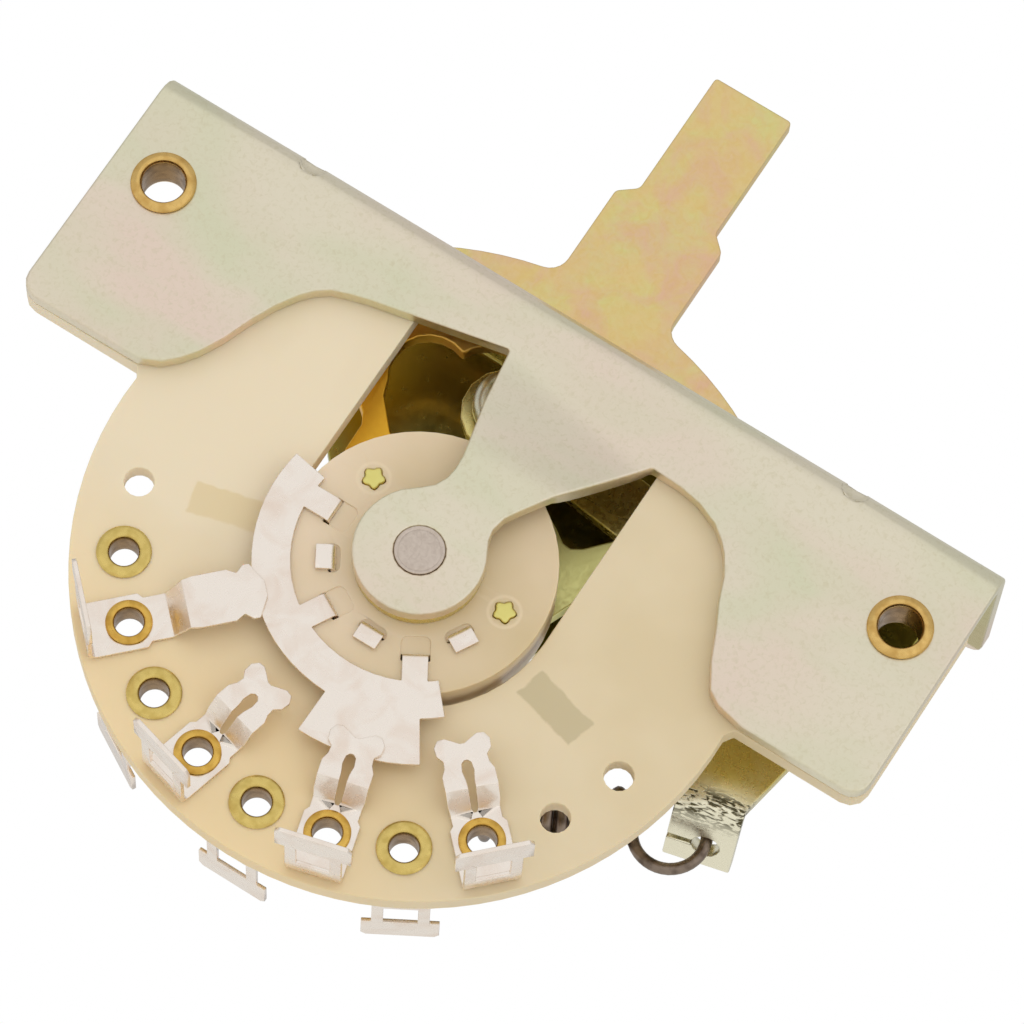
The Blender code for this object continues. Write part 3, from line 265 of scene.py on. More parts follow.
def cloud(
    tree, place, millimetres, detail=3.0, stretch=(1.0, 1.0, 1.0), shift=(0.0, 0.0, 0.0), twist=0.0
):
    """A soft noise from 0 to 1 whose lumps are about this many millimetres across."""
    mapped = add(tree, "ShaderNodeMapping", {"Vector": place, "Scale": stretch, "Location": shift})
    noise = add(
        tree,
        "ShaderNodeTexNoise",
        {
            "Vector": mapped.outputs["Vector"],
            "Scale": 1 / (millimetres * MM),
            "Detail": detail,
            "Distortion": twist,
        },
    )
    return noise.outputs["Fac"]


def inside(tree, *bounds):
    """1 where every value is past its second bound, and 0 where any is short of its first.

    Each of the bounds is a value with the two numbers that it goes between.
    """
    result = None
    for value, none_at, full_at in bounds:
        share = add(
            tree, "ShaderNodeMapRange", {"Value": value, "From Min": none_at, "From Max": full_at}
        ).outputs["Result"]
        if result is not None:
            share = add(
                tree, "ShaderNodeMath", {0: result, 1: share}, operation="MULTIPLY"
            ).outputs[0]
        result = share
    return result


def tint(tree, under, over, value, none_at=0.0, full_at=1.0, most=1.0):
    """Lays one colour over another: none of it at the first bound, and most at the second."""
    share = add(
        tree,
        "ShaderNodeMapRange",
        {"Value": value, "From Min": none_at, "From Max": full_at, "To Max": most},
    ).outputs["Result"]
    return add(tree, "ShaderNodeMix", {0: share, 6: under, 7: over}, data_type="RGBA").outputs[2]


def roughen(tree, shader, value, low, high, smoothest, roughest):
    """Takes the surface from its smoothest to its roughest as a value goes from low to high."""
    rough = add(
        tree,
        "ShaderNodeMapRange",
        {
            "Value": value,
            "From Min": low,
            "From Max": high,
            "To Min": smoothest,
            "To Max": roughest,
        },
    ).outputs["Result"]
    tree.links.new(rough, shader.inputs["Roughness"])
    return rough


def finish_surface(tree, shader, tinted, height, depth, strength):
    """Links a colour and a bump height of so many metres to the shader."""
    tree.links.new(tinted, shader.inputs["Base Color"])
    bump = add(tree, "ShaderNodeBump", {"Height": height, "Distance": depth, "Strength": strength})
    tree.links.new(bump.outputs["Normal"], shader.inputs["Normal"])


def flat_distance(tree, place, x, z):
    """How far a point is from a line along y through this x and z, in metres."""
    away = add(
        tree, "ShaderNodeVectorMath", {0: place, 1: (x, 0.0, z)}, operation="SUBTRACT"
    ).outputs["Vector"]
    level = add(
        tree, "ShaderNodeVectorMath", {0: away, 1: (1.0, 0.0, 1.0)}, operation="MULTIPLY"
    ).outputs["Vector"]
    return add(tree, "ShaderNodeVectorMath", {0: level}, operation="LENGTH").outputs["Value"]


def turned_frame(tree, place, middle, turn):
    """The coordinates of a point about this middle, turned about y by this angle."""
    moved = add(
        tree, "ShaderNodeVectorMath", {0: place, 1: middle}, operation="SUBTRACT"
    ).outputs["Vector"]
    return add(
        tree, "ShaderNodeVectorRotate", {"Vector": moved, "Axis": (0, 1, 0), "Angle": turn}
    ).outputs["Vector"]


def zinc_plate(colours):
    """Mild steel sheet, rolled and then zinc plated with a clear passivate.

    The eye sees a pale satin grey with pink, green and straw clouds of about 10 mm, a fine straw
    grain, and rolling lines along the sheet. Inside the folds the colour is a darker olive, which
    is painted shade, and the surface is glossier.
    """
    made, tree, shader, place = new_material("clear_zinc_on_steel", colours.zinc, 1.0, 0.4)
    warm = cloud(tree, place, 11, 2, (0.6, 1, 1), (1, 4, 2), 0.6)
    cool = cloud(tree, place, 8, 3, (0.5, 1, 1), (5, 1, 7), 0.9)
    grain = cloud(tree, place, 0.3, 4, twist=0.8)
    tinted = tint(tree, colours.zinc, colours.zinc_warm, warm, 0.42, 0.66)
    tinted = tint(tree, tinted, colours.zinc_cool, cool, 0.45, 0.7)
    tinted = tint(tree, tinted, linear("#d3c9a4"), grain, 0.5, 0.75, 0.4)
    at = add(tree, "ShaderNodeSeparateXYZ", {"Vector": place}).outputs
    shaded_inside = inside(
        tree, (at["Y"], *PLATE_BACK), (at["Y"], *LEG_FACE), (at["Z"], *FLANGE_UNDERSIDE)
    )
    # painted shade: the frame's faces inside its folds are tinted a darker olive
    tinted = tint(tree, tinted, colours.zinc_shade_inside, shaded_inside)
    satin = roughen(tree, shader, cloud(tree, place, 0.5, 4), 0.35, 0.75, 0.34, 0.46)
    glossier = add(
        tree, "ShaderNodeMath", {0: shaded_inside, 1: -INSIDE_GLOSS, 2: satin}, operation="MULTIPLY_ADD"
    ).outputs[0]
    tree.links.new(glossier, shader.inputs["Roughness"])
    lines = cloud(tree, place, 0.35, 3, (0.06, 1, 1))
    finish_surface(tree, shader, tinted, lines, 0.004 * MM, 0.4)
    return made


def yellow_chromate(colours):
    """Steel blade, zinc plated and dipped in yellow chromate.

    The film dries in clouds of gold, rose and green, 2 to 5 mm across and finely rubbed, with a
    satin gloss. Under the frame's flange the lever is painted with shade and reflected warm light:
    a deep gold to the left, and green to the right. The ends of the two pegs were rubbed pale.
    """
    made, tree, shader, place = new_material("yellow_chromate_on_steel", colours.gold, 1.0, 0.4)
    rose = cloud(tree, place, 3.2, 7, shift=(2, 1, 6), twist=0.9)
    leaf = cloud(tree, place, 4.0, 7, shift=(7, 3, 1), twist=0.8)
    rubbed = cloud(tree, place, 0.7, 6, twist=1.2)
    tinted = tint(tree, colours.gold, colours.gold_leaf, leaf, 0.42, 0.72)
    tinted = tint(tree, tinted, colours.gold_rose, rose, 0.42, 0.72)
    tinted = tint(tree, tinted, linear("#e6c26c"), rubbed, 0.42, 0.75, 0.4)
    at = add(tree, "ShaderNodeSeparateXYZ", {"Vector": place}).outputs
    # painted shade and reflected warm light under the frame's flange: deep gold to the left, green
    # to the right
    film = tint(tree, colours.gold_flange_shade, colours.gold_leaf, at["X"], *FLANGE_SHADE_TURNS_GREEN)
    tinted = tint(tree, tinted, film, at["Z"], *FLANGE_SHADE_DEEPENS)
    tinted = tint(tree, tinted, linear("#eadf88"), at["Y"], *PEG_ENDS)
    scratches = cloud(tree, place, 0.3, 5, twist=0.8)
    roughen(tree, shader, scratches, 0.35, 0.7, 0.34, 0.5)
    finish_surface(tree, shader, tinted, scratches, 0.004 * MM, 0.4)
    return made


def laminate(name, first, second, turn_at, gloss):
    """A board's laminate: returns the material, its tree, shader, coordinates and tint.

    Light goes a little way into it, so it glows. It goes from the first colour to the second
    across the board from -x to +x about turn_at, in slow clouds where the resin is thicker.
    """
    made, tree, shader, place = new_material(name, first, 0.0, gloss)
    shader.inputs["Subsurface Weight"].default_value = 0.25
    shader.inputs["Subsurface Radius"].default_value = (1.0, 0.7, 0.4)
    shader.inputs["Subsurface Scale"].default_value = 0.6 * MM
    slow = cloud(tree, place, 9, 3, shift=(3, 3, 3))
    across = add(tree, "ShaderNodeSeparateXYZ", {"Vector": place}).outputs["X"]
    shares = [
        add(
            tree,
            "ShaderNodeMapRange",
            {"Value": value, "From Min": low, "From Max": high, "To Min": least, "To Max": most},
        ).outputs["Result"]
        for value, low, high, least, most in (
            (across, turn_at - BOARD_REACH, turn_at + BOARD_REACH, 0.05, 0.95),
            (slow, 0.35, 0.7, -0.25, 0.25),
        )
    ]
    resin = add(tree, "ShaderNodeMath", dict(enumerate(shares)), operation="ADD").outputs[0]
    return made, tree, shader, place, tint(tree, first, second, resin)


def seen_through_shadow(tree, place, across, turn):
    """Painted shadow mask: 1 in a turned rectangle on the wafer's face, 0 outside, ragged edged."""
    ragged = cloud(tree, place, 0.9, 3)
    at = add(
        tree,
        "ShaderNodeSeparateXYZ",
        {"Vector": turned_frame(tree, place, (across, 0.0, SHADOW_PATCH_HEIGHT), turn)},
    ).outputs
    edges = []
    for axis, half in zip("XZ", SHADOW_PATCH_HALVES):
        away = add(tree, "ShaderNodeMath", {0: at[axis]}, operation="ABSOLUTE").outputs[0]
        wavy = add(
            tree, "ShaderNodeMath", {0: ragged, 1: 0.4 * MM, 2: away}, operation="MULTIPLY_ADD"
        ).outputs[0]
        edges.append((wavy, half + 0.3 * MM, half + 0.15 * MM))
    return inside(tree, *edges)


def wafer_board(colours):
    """The fixed board of cream laminate, moulded and punched.

    It is painted a warmer yellow among the terminals, as warm shade, and greyer in two places with
    painted shadows of the metal behind the translucent board.
    """
    made, tree, shader, place, tinted = laminate(
        "cream_laminate", colours.board, colours.board_deep, 2 * MM, 0.5
    )
    at = add(tree, "ShaderNodeSeparateXYZ", {"Vector": place}).outputs
    # painted warm shade on the board among the terminals, low and to the left
    warm_shade = inside(tree, (at["Z"], *WARM_SHADE_BELOW), (at["X"], *WARM_SHADE_LEFT))
    tinted = tint(tree, tinted, linear("#f3d7a2"), warm_shade, most=0.7)
    for across, turn, shade_code in SEEN_THROUGH_SHADOWS:
        # painted shadows of the metal behind the translucent board
        mark = seen_through_shadow(tree, place, across, math.radians(turn))
        tinted = tint(tree, tinted, linear(shade_code), mark)
    finish_surface(tree, shader, tinted, cloud(tree, place, 0.25, 4), 0.003 * MM, 0.3)
    return made


def rotor_board(colours):
    """The turning board of tan laminate, pinker to the left.

    The staking tool left a faint round mark about each of the lever's pegs; it is painted lighter,
    as a highlight on its rim.
    """
    made, tree, shader, place, tinted = laminate(
        "tan_laminate", colours.rotor_rose, colours.rotor, -1 * MM, 0.3
    )
    for x, z in PEG_PLACES:
        away = flat_distance(tree, place, HUB.x + x, HUB.z + z)
        past = add(
            tree, "ShaderNodeMath", {0: away, 1: STAKING_RADIUS}, operation="SUBTRACT"
        ).outputs[0]
        off_highlight_ring = add(tree, "ShaderNodeMath", {0: past}, operation="ABSOLUTE").outputs[0]
        # painted highlight: a lighter ring on each peg's staking mark
        tinted = tint(tree, tinted, linear("#f0dcbc"), off_highlight_ring, 0.16 * MM, 0.04 * MM, 0.5)
    finish_surface(tree, shader, tinted, cloud(tree, place, 0.25, 4), 0.003 * MM, 0.3)
    return made


def silver_plate(colours):
    """Spring bronze, silver plated, barrel finished.

    Almost white, with soft bright reflections and faint warm tarnish in patches.
    """
    made, tree, shader, place = new_material("silver_plated_bronze", colours.silver, 1.0, 0.26)
    patches = cloud(tree, place, 2.4, 4, twist=0.8)
    tinted = tint(tree, colours.silver, colours.tarnish, patches, 0.45, 0.75, 0.8)
    roughen(tree, shader, cloud(tree, place, 0.8, 4), 0.35, 0.7, 0.2, 0.36)
    finish_surface(tree, shader, tinted, cloud(tree, place, 0.9, 2), 0.012 * MM, 0.35)
    return made


def drawn_brass(name, main, dull_code):
    """Drawn brass, tumbled and flared: brighter where the tool rolled it, duller in patches."""
    made, tree, shader, place = new_material(name, main, 1.0, 0.3)
    patches = cloud(tree, place, 0.7, 4)
    tinted = tint(tree, main, linear(dull_code), patches, 0.42, 0.72, 0.6)
    roughen(tree, shader, patches, 0.42, 0.72, 0.25, 0.4)
    finish_surface(tree, shader, tinted, cloud(tree, place, 0.3, 3), 0.004 * MM, 0.4)
    return made


def bare_steel(colours):
    """Turned steel shaft, peened over: pinkish grey, with the fine crazing of the peening."""
    made, tree, shader, place = new_material("peened_steel", colours.steel, 1.0, 0.42)
    craze = cloud(tree, place, 0.45, 6, twist=1.6)
    tinted = tint(tree, colours.steel, linear("#b9a99b"), craze, 0.4, 0.7, 0.5)
    finish_surface(tree, shader, tinted, craze, 0.01 * MM, 0.4)
    return made


def bright_zinc(colours):
    """The index arm's bright plating: glossy olive straw, paler past the bend of its leg. The
    paler leg and the olive above it are painted reflection and highlight.

    The plating crinkled where the sheet was bent, in dark cracks along the fold about 0.3 mm
    apart, which run square to the leg.
    """
    made, tree, shader, place = new_material("bright_zinc_on_steel", colours.arm, 1.0, 0.27)
    straw = cloud(tree, place, 5, 3, twist=0.7)
    tinted = tint(tree, colours.arm, linear("#e3d9a2"), straw, 0.42, 0.68, 0.6)
    squared = turned_frame(tree, place, ARM_FOLD, math.radians(ARM_LEG_TURN))
    height = add(tree, "ShaderNodeSeparateXYZ", {"Vector": squared}).outputs["Z"]
    across = add(tree, "ShaderNodeSeparateXYZ", {"Vector": place}).outputs["X"]
    past = inside(tree, (height, 2.2 * MM, 0.2 * MM), (across, *ARM_LEG_STARTS))
    # painted reflection and highlight: olive above the bend where the face mirrors the wafer's back,
    # pale at and past the bend
    tinted = tint(tree, tinted, colours.arm_lit_past_bend, past)
    from_bend = add(tree, "ShaderNodeMath", {0: height}, operation="ABSOLUTE").outputs[0]
    lumps = cloud(tree, squared, 0.24, 5, (0.3, 1, 1), twist=0.8)
    cracks = inside(
        tree, (lumps, 0.47, 0.56), (from_bend, 1.3 * MM, 0.6 * MM), (across, *ARM_LEG_STARTS)
    )
    tinted = tint(tree, tinted, linear("#57513a"), cracks)
    roughen(tree, shader, cloud(tree, place, 0.4, 4), 0.3, 0.75, 0.22, 0.36)
    finish_surface(tree, shader, tinted, cracks, -0.03 * MM, 0.8)
    return made


def spring_wire(colours):
    """Oil-tempered music wire: dark brown grey with fine drawing lines."""
    made, tree, shader, place = new_material("oil_tempered_wire", colours.wire, 1.0, 0.34)
    patina = cloud(tree, place, 0.9, 4)
    tinted = tint(tree, colours.wire, linear("#5e5146"), patina, 0.4, 0.7)
    finish_surface(tree, shader, tinted, cloud(tree, place, 0.12, 3), 0.003 * MM, 0.4)
    return made


def hard_steel():
    """Polished steel ball, dulled by a film of old grease."""
    made, tree, shader, place = new_material("polished_steel_ball", linear("#d6d3bd"), 1.0, 0.3)
    roughen(tree, shader, cloud(tree, place, 1.5, 3), 0.4, 0.7, 0.26, 0.38)
    return made


FINISHES = {}
# The front terminals' eyelets: their narrow collars lie in front, on the terminals.
WIDE_AT_BACK = tuple("terminal_eyelet_" + tag for tag in ("left_1", "left_3", "right_1", "right_3"))


def make_finishes(colours):
    """Makes every material once, with the record's material slot that it stands for."""
    FINISHES.update(
        zinc=(zinc_plate(colours), "zinc_plate"),
        gold=(yellow_chromate(colours), "yellow_chromate"),
        board=(wafer_board(colours), "laminate"),
        rotor=(rotor_board(colours), "rotor_board"),
        silver=(silver_plate(colours), "silver_plate"),
        collar=(drawn_brass("satin_brass_collar", colours.collar, "#c0a450"), "eyelet_brass"),
        brass=(drawn_brass("drawn_brass_rim", colours.brass, "#bd8f45"), "eyelet_brass"),
        flare=(drawn_brass("flared_brass_collar", colours.flare, "#b98a35"), "eyelet_brass"),
        # painted shade: the eyelets' bores are given a dark brown brass
        bore=(drawn_brass("shaded_brass_bore", colours.bore, "#6b4f28"), "eyelet_brass"),
        steel=(bare_steel(colours), "bright_steel"),
        arm=(bright_zinc(colours), "zinc_plate"),
        wire=(spring_wire(colours), "spring_wire"),
        ball=(hard_steel(), "bright_steel"),
    )


def select_only(piece):
    """Makes one object the selected and active one."""
    bpy.ops.object.select_all(action="DESELECT")
    piece.select_set(True)
    bpy.context.view_layer.objects.active = piece


def body_of(node):
    """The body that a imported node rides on."""
    return frame["nodes"][node]["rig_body"]


def round_edges(piece, width, segments):
    """Rounds the sharp edges and keeps the flat faces flat.

    The faces are cut into well-shaped triangles first: a bevel can fold a large face over a
    window in it.
    """
    bpy.ops.object.mode_set(mode="EDIT")
    bpy.ops.mesh.select_all(action="SELECT")
    bpy.ops.mesh.quads_convert_to_tris(quad_method="BEAUTY", ngon_method="BEAUTY")
    bpy.ops.object.mode_set(mode="OBJECT")
    bpy.ops.object.modifier_add(type="BEVEL")
    rounding = piece.modifiers[-1]
    rounding.width = width
    rounding.segments = segments
    rounding.limit_method = "ANGLE"
    rounding.angle_limit = BEVEL_ABOVE
    rounding.use_clamp_overlap = False
    rounding.loop_slide = False
    rounding.miter_outer = "MITER_ARC"
    bpy.ops.object.modifier_apply(modifier=rounding.name)


def shade(piece):
    """Smooth shading on the curves, with each flat face's normal kept true."""
    bpy.ops.object.shade_smooth_by_angle(angle=SMOOTH_BELOW)
    bpy.ops.object.modifier_add(type="WEIGHTED_NORMAL")
    weighting = piece.modifiers[-1]
    weighting.keep_sharp = True
    bpy.ops.object.modifier_apply(modifier=weighting.name)


def clean_copy(node):
    """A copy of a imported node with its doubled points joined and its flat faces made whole."""
    piece = bpy.data.objects.new(node + "_finished", frame["nodes"][node].data.copy())
    bpy.context.scene.collection.objects.link(piece)
    select_only(piece)
    bpy.ops.object.mode_set(mode="EDIT")
    bpy.ops.mesh.select_all(action="SELECT")
    bpy.ops.mesh.remove_doubles(threshold=WELD)
    bpy.ops.mesh.dissolve_limited(angle_limit=COPLANAR)
    bpy.ops.object.mode_set(mode="OBJECT")
    return piece


def finished_copy(node, finish, edge, segments=2, between_steps=None):
    """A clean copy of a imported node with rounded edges, in its finish and on its body.

    between_steps is called with the piece after its edges are rounded and before it is shaded.
    """
    piece = clean_copy(node)
    round_edges(piece, edge, segments)
    if between_steps is not None:
        between_steps(piece)
    shade(piece)
    return dress(piece, finish, node)


def coat(piece, finish, node):
    """Gives a piece its material and hides the node that it stands for."""
    material, slot = FINISHES[finish]
    piece.data.materials.clear()
    piece.data.materials.append(material)
    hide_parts(node)
    return piece


def dress(piece, finish, node):
    """Coats a piece and puts it on its node's body."""
    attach(piece, body_of(node))
    return coat(piece, finish, node)


def nodes_named(start):
    """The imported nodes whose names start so, in order."""
    return sorted(name for name in frame["nodes"] if name.startswith(start))


def turned(name, profile, steps):
    """A piece turned about the y axis from a profile of (radius, depth) points.

    The profile is drawn point by point in edit mode and revolved by a Screw modifier. One that
    doesn't start on the axis is closed.
    """
    bpy.ops.mesh.primitive_plane_add(size=MM)
    piece = bpy.context.active_object
    piece.name = name
    bpy.ops.object.mode_set(mode="EDIT")
    bpy.ops.mesh.select_all(action="SELECT")
    bpy.ops.mesh.merge(type="CENTER")
    points = [Vector((radius, depth, 0.0)) for radius, depth in profile]
    if profile[0][0] > 0:
        points.append(points[0])
    bpy.ops.transform.translate(value=points[0])
    for here, there in zip(points, points[1:]):
        bpy.ops.mesh.extrude_region_move(TRANSFORM_OT_translate={"value": there - here})
    bpy.ops.mesh.select_all(action="SELECT")
    bpy.ops.mesh.remove_doubles(threshold=WELD)
    bpy.ops.object.mode_set(mode="OBJECT")
    bpy.ops.object.modifier_add(type="SCREW")
    screw = piece.modifiers[-1]
    screw.axis = "Y"
    screw.steps = steps
    screw.render_steps = steps
    screw.use_merge_vertices = True
    screw.merge_threshold = WELD
    bpy.ops.object.modifier_apply(modifier=screw.name)
    bpy.ops.object.mode_set(mode="EDIT")
    bpy.ops.mesh.select_all(action="SELECT")
    bpy.ops.mesh.normals_make_consistent(inside=False)
    bpy.ops.object.mode_set(mode="OBJECT")
    return piece


def carry(piece, where, flipped=False):
    """Moves a piece's own points from the origin to a place, turned end for end if flipped."""
    select_only(piece)
    bpy.ops.object.mode_set(mode="EDIT")
    bpy.ops.mesh.select_all(action="SELECT")
    if flipped:
        bpy.ops.transform.rotate(value=math.pi, orient_axis="Z", center_override=(0.0, 0.0, 0.0))
    bpy.ops.transform.translate(value=where)
    bpy.ops.object.mode_set(mode="OBJECT")


def softened(profile, closed, reach):
    """A profile with each corner rounded, from this far before it to this far after it."""
    result = []
    for i, corner in enumerate(profile):
        if not closed and i in (0, len(profile) - 1):
            result.append(corner)
            continue
        here = Vector(corner)
        before = Vector(profile[i - 1]) - here
        after = Vector(profile[(i + 1) % len(profile)]) - here
        near = here + before.normalized() * min(reach, before.length * 0.45)
        far = here + after.normalized() * min(reach, after.length * 0.45)
        for share in (0.0, 1 / 3, 2 / 3, 1.0):
            result.append(tuple(near.lerp(here, share).lerp(here.lerp(far, share), share)))
    return result


def turned_for(node, profile, finish, steps):
    """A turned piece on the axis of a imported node, with its profile's depths in the row frame."""
    low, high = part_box(node)
    piece = turned(node + "_turned", profile, steps)
    carry(piece, Vector(((low[0] + high[0]) / 2, 0.0, (low[2] + high[2]) / 2)))
    shade(piece)
    return dress(piece, finish, node)


def eyelet_profile(bore, barrel, reaches, roll, length):
    """An eyelet with its front collar's seat at depth 0 and its back collar's at this length.

    Each collar rolls up from the bore to a lip and slopes down to its outer edge.
    """
    profile = []
    for reach, seat, out in ((reaches[0], 0.0, -1), (reaches[1], length, 1)):
        land = reach - bore
        half = [(bore, seat - out * BORE_START * roll)]
        half += [(bore + share * land, seat + out * rise * roll) for share, rise in LIP_SHAPE]
        half.append((barrel, seat))
        profile += half if out < 0 else half[::-1]
    return profile


def set_eyelets(master, names, finish, bore):
    """Copies one eyelet into each of these nodes' places, with its bore in a darker brass that is
    painted shade.

    Where the node's wide collar is at the back, the copy is turned end for end, and its front
    collar was flared.
    """
    for name in names:
        low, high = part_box(name)
        flipped = name in WIDE_AT_BACK
        piece = bpy.data.objects.new(name + "_turned", master.data.copy())
        bpy.context.scene.collection.objects.link(piece)
        middle = Vector(((low[0] + high[0]) / 2, 0.0, (low[2] + high[2]) / 2))
        depths = [vertex.co.y for vertex in master.data.vertices]
        middle.y = high[1] + min(depths) if flipped else low[1] - min(depths)
        carry(piece, middle, flipped)
        shade(piece)
        dress(piece, "flare" if flipped else finish, name)
        piece.data.materials.append(FINISHES["bore"][0])
        for face in piece.data.polygons:
            away = face.center - middle
            face.material_index = 1 if math.hypot(away.x, away.z) < bore * 1.02 else 0
    bpy.data.objects.remove(master, do_unlink=True)


def shorten_slots(rotor):
    """Fills the shaft's side of each of the rotor's slots, to a shallow pocket in both faces."""
    low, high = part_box("rotor")
    depth = high[1] - low[1] - 2 * POCKET_DEPTH
    bpy.ops.mesh.primitive_plane_add(size=MM)
    filling = bpy.context.active_object
    bpy.ops.object.mode_set(mode="EDIT")
    bpy.ops.mesh.select_all(action="SELECT")
    bpy.ops.mesh.delete(type="VERT")
    for turn, end in SLOT_ENDS:
        bpy.ops.mesh.primitive_cube_add(size=1.0)
        bpy.ops.transform.resize(value=(SLOT_WIDTH, depth, end - SLOT_START))
        bpy.ops.transform.translate(value=(0.0, (low[1] + high[1]) / 2, (SLOT_START + end) / 2))
        bpy.ops.transform.rotate(
            value=-math.radians(turn), orient_axis="Y", center_override=(0.0, 0.0, 0.0)
        )
        bpy.ops.transform.translate(value=(HUB.x, 0.0, HUB.z))
        bpy.ops.mesh.select_all(action="DESELECT")
    bpy.ops.object.mode_set(mode="OBJECT")
    select_only(rotor)
    bpy.ops.object.modifier_add(type="BOOLEAN")
    joining = rotor.modifiers[-1]
    joining.operation = "UNION"
    joining.solver = "EXACT"
    joining.object = filling
    bpy.ops.object.modifier_apply(modifier=joining.name)
    bpy.data.objects.remove(filling, do_unlink=True)


class SWITCH_OT_frame(bpy.types.Operator):
    """Plates the folded frame and rounds its punched edges"""

    bl_idname = "pickup_switch.frame"
    bl_label = "Frame"

    def execute(self, context):
        sizes = context.scene.switch_sizes
        finished_copy("frame", "zinc", sizes.plate_edge, 3)
        return {"FINISHED"}


class SWITCH_OT_wafer(bpy.types.Operator):
    """Gives the fixed board and the turning board their laminate"""

    bl_idname = "pickup_switch.wafer"
    bl_label = "Wafer and rotor"

    def execute(self, context):
        edge = context.scene.switch_sizes.board_edge
        finished_copy("wafer", "board", edge)
        finished_copy("rotor", "rotor", edge, between_steps=shorten_slots)
        return {"FINISHED"}


class SWITCH_OT_contacts(bpy.types.Operator):
    """Silvers the contact rings and the terminals"""

    bl_idname = "pickup_switch.contacts"
    bl_label = "Rings and terminals"

    def execute(self, context):
        edge = context.scene.switch_sizes.contact_edge
        names = nodes_named("terminal_front") + nodes_named("terminal_rear")
        for name in ["front_ring", "rear_ring", *names]:
            finished_copy(name, "silver", edge)
        return {"FINISHED"}


class SWITCH_OT_eyelets(bpy.types.Operator):
    """Turns the brass eyelets with their rolled lips"""

    bl_idname = "pickup_switch.eyelets"
    bl_label = "Eyelets"

    def execute(self, context):
        sizes = context.scene.switch_sizes
        terminal = (sizes.terminal_bore, sizes.terminal_barrel, sizes.collar_roll)
        rim = (sizes.frame_bore, sizes.frame_barrel, sizes.rim_roll)
        for start, finish, (bore, barrel, roll) in (
            ("terminal_eyelet", "collar", terminal), ("frame_eyelet", "brass", rim)
        ):
            names = nodes_named(start)
            low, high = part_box(names[0])
            wide = (high[0] - low[0]) / 2
            narrow = wide if start == "frame_eyelet" else barrel + sizes.terminal_collar
            length = high[1] - low[1] - 2 * roll
            profile = eyelet_profile(bore, barrel, (wide, narrow), roll, length)
            master = turned("eyelet_master", profile, sizes.turned_steps)
            set_eyelets(master, names, finish, bore)
        return {"FINISHED"}


class SWITCH_OT_lever(bpy.types.Operator):
    """Gives the lever its yellow chromate"""

    bl_idname = "pickup_switch.lever"
    bl_label = "Lever"

    def execute(self, context):
        finished_copy("lever", "gold", context.scene.switch_sizes.blade_edge, 3)
        return {"FINISHED"}


class SWITCH_OT_pivot(bpy.types.Operator):
    """Turns the riveted shaft, the arm's pin, the washer and the spacers"""

    bl_idname = "pickup_switch.pivot"
    bl_label = "Pivot"

    def execute(self, context):
        sizes = context.scene.switch_sizes
        for name, drawn in (("pivot_shaft", SHAFT_PROFILE), ("arm_pin", PIN_PROFILE)):
            profile = [(radius * MM, depth * MM + HUB.y) for radius, depth in drawn]
            profile = softened(profile, False, sizes.turned_edge)
            turned_for(name, profile, "steel", sizes.turned_steps)
        for name in ("front_washer", "hub_spacer", "rear_spacer"):
            low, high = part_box(name)
            inner, outer = sizes.shaft_bore, (high[0] - low[0]) / 2
            ring = [(inner, low[1]), (outer, low[1]), (outer, high[1]), (inner, high[1])]
            turned_for(name, softened(ring, True, sizes.turned_edge), "arm", sizes.turned_steps)
        return {"FINISHED"}


class SWITCH_OT_index(bpy.types.Operator):
    """Finishes the index arm and grinds its ball"""

    bl_idname = "pickup_switch.index"
    bl_label = "Index arm and ball"

    def execute(self, context):
        sizes = context.scene.switch_sizes
        finished_copy("index_arm", "arm", sizes.blade_edge, 3)
        low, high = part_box("index_ball")
        radius, level = (high[1] - low[1]) / 2, (high[1] + low[1]) / 2
        turns = [math.pi * i / BALL_STEPS for i in range(BALL_STEPS + 1)]
        meridian = [(radius * math.sin(turn), level - radius * math.cos(turn)) for turn in turns]
        meridian[0] = (0.0, level - radius)
        meridian[-1] = (0.0, level + radius)
        turned_for("index_ball", meridian, "ball", sizes.turned_steps)
        return {"FINISHED"}


class SWITCH_OT_spring(bpy.types.Operator):
    """Smooths the index spring and gives it its wire finish"""

    bl_idname = "pickup_switch.spring"
    bl_label = "Index spring"

    def execute(self, context):
        piece = clean_copy("index_spring")
        bpy.ops.object.modifier_add(type="SUBSURF")
        smoothing = piece.modifiers[-1]
        smoothing.levels = 1
        smoothing.render_levels = 1
        bpy.ops.object.modifier_apply(modifier=smoothing.name)
        shade(piece)
        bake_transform(piece)
        coat(piece, "wire", "index_spring")
        return {"FINISHED"}


def softbox(name, place, aim, side, watts):
    """A square soft lamp at a place, facing a point."""
    bpy.ops.object.light_add(type="AREA", location=place)
    lamp = bpy.context.active_object
    lamp.name = name
    lamp.rotation_euler = (aim - place).to_track_quat("-Z", "Y").to_euler()
    lamp.data.size = side
    lamp.data.energy = watts


def white_room(soft_level, mirrored_level):
    """A world that shows white, and lights matt and glossy surfaces at these levels."""
    world = bpy.context.scene.world or bpy.data.worlds.new("white_room")
    bpy.context.scene.world = world
    world.use_nodes = True
    tree = world.node_tree
    tree.nodes.clear()
    ray = add(tree, "ShaderNodeLightPath").outputs
    seen = add(
        tree,
        "ShaderNodeMath",
        {0: ray["Is Camera Ray"], 1: ray["Is Transmission Ray"]},
        operation="MAXIMUM",
    ).outputs[0]
    mirrored = add(
        tree,
        "ShaderNodeMapRange",
        {"Value": ray["Is Glossy Ray"], "To Min": soft_level, "To Max": mirrored_level},
    ).outputs["Result"]
    strength = add(tree, "ShaderNodeMath", {0: seen, 1: mirrored}, operation="MAXIMUM").outputs[0]
    glow = add(tree, "ShaderNodeBackground", {"Color": (1, 1, 1, 1), "Strength": strength})
    out = add(tree, "ShaderNodeOutputWorld")
    tree.links.new(glow.outputs["Background"], out.inputs["Surface"])


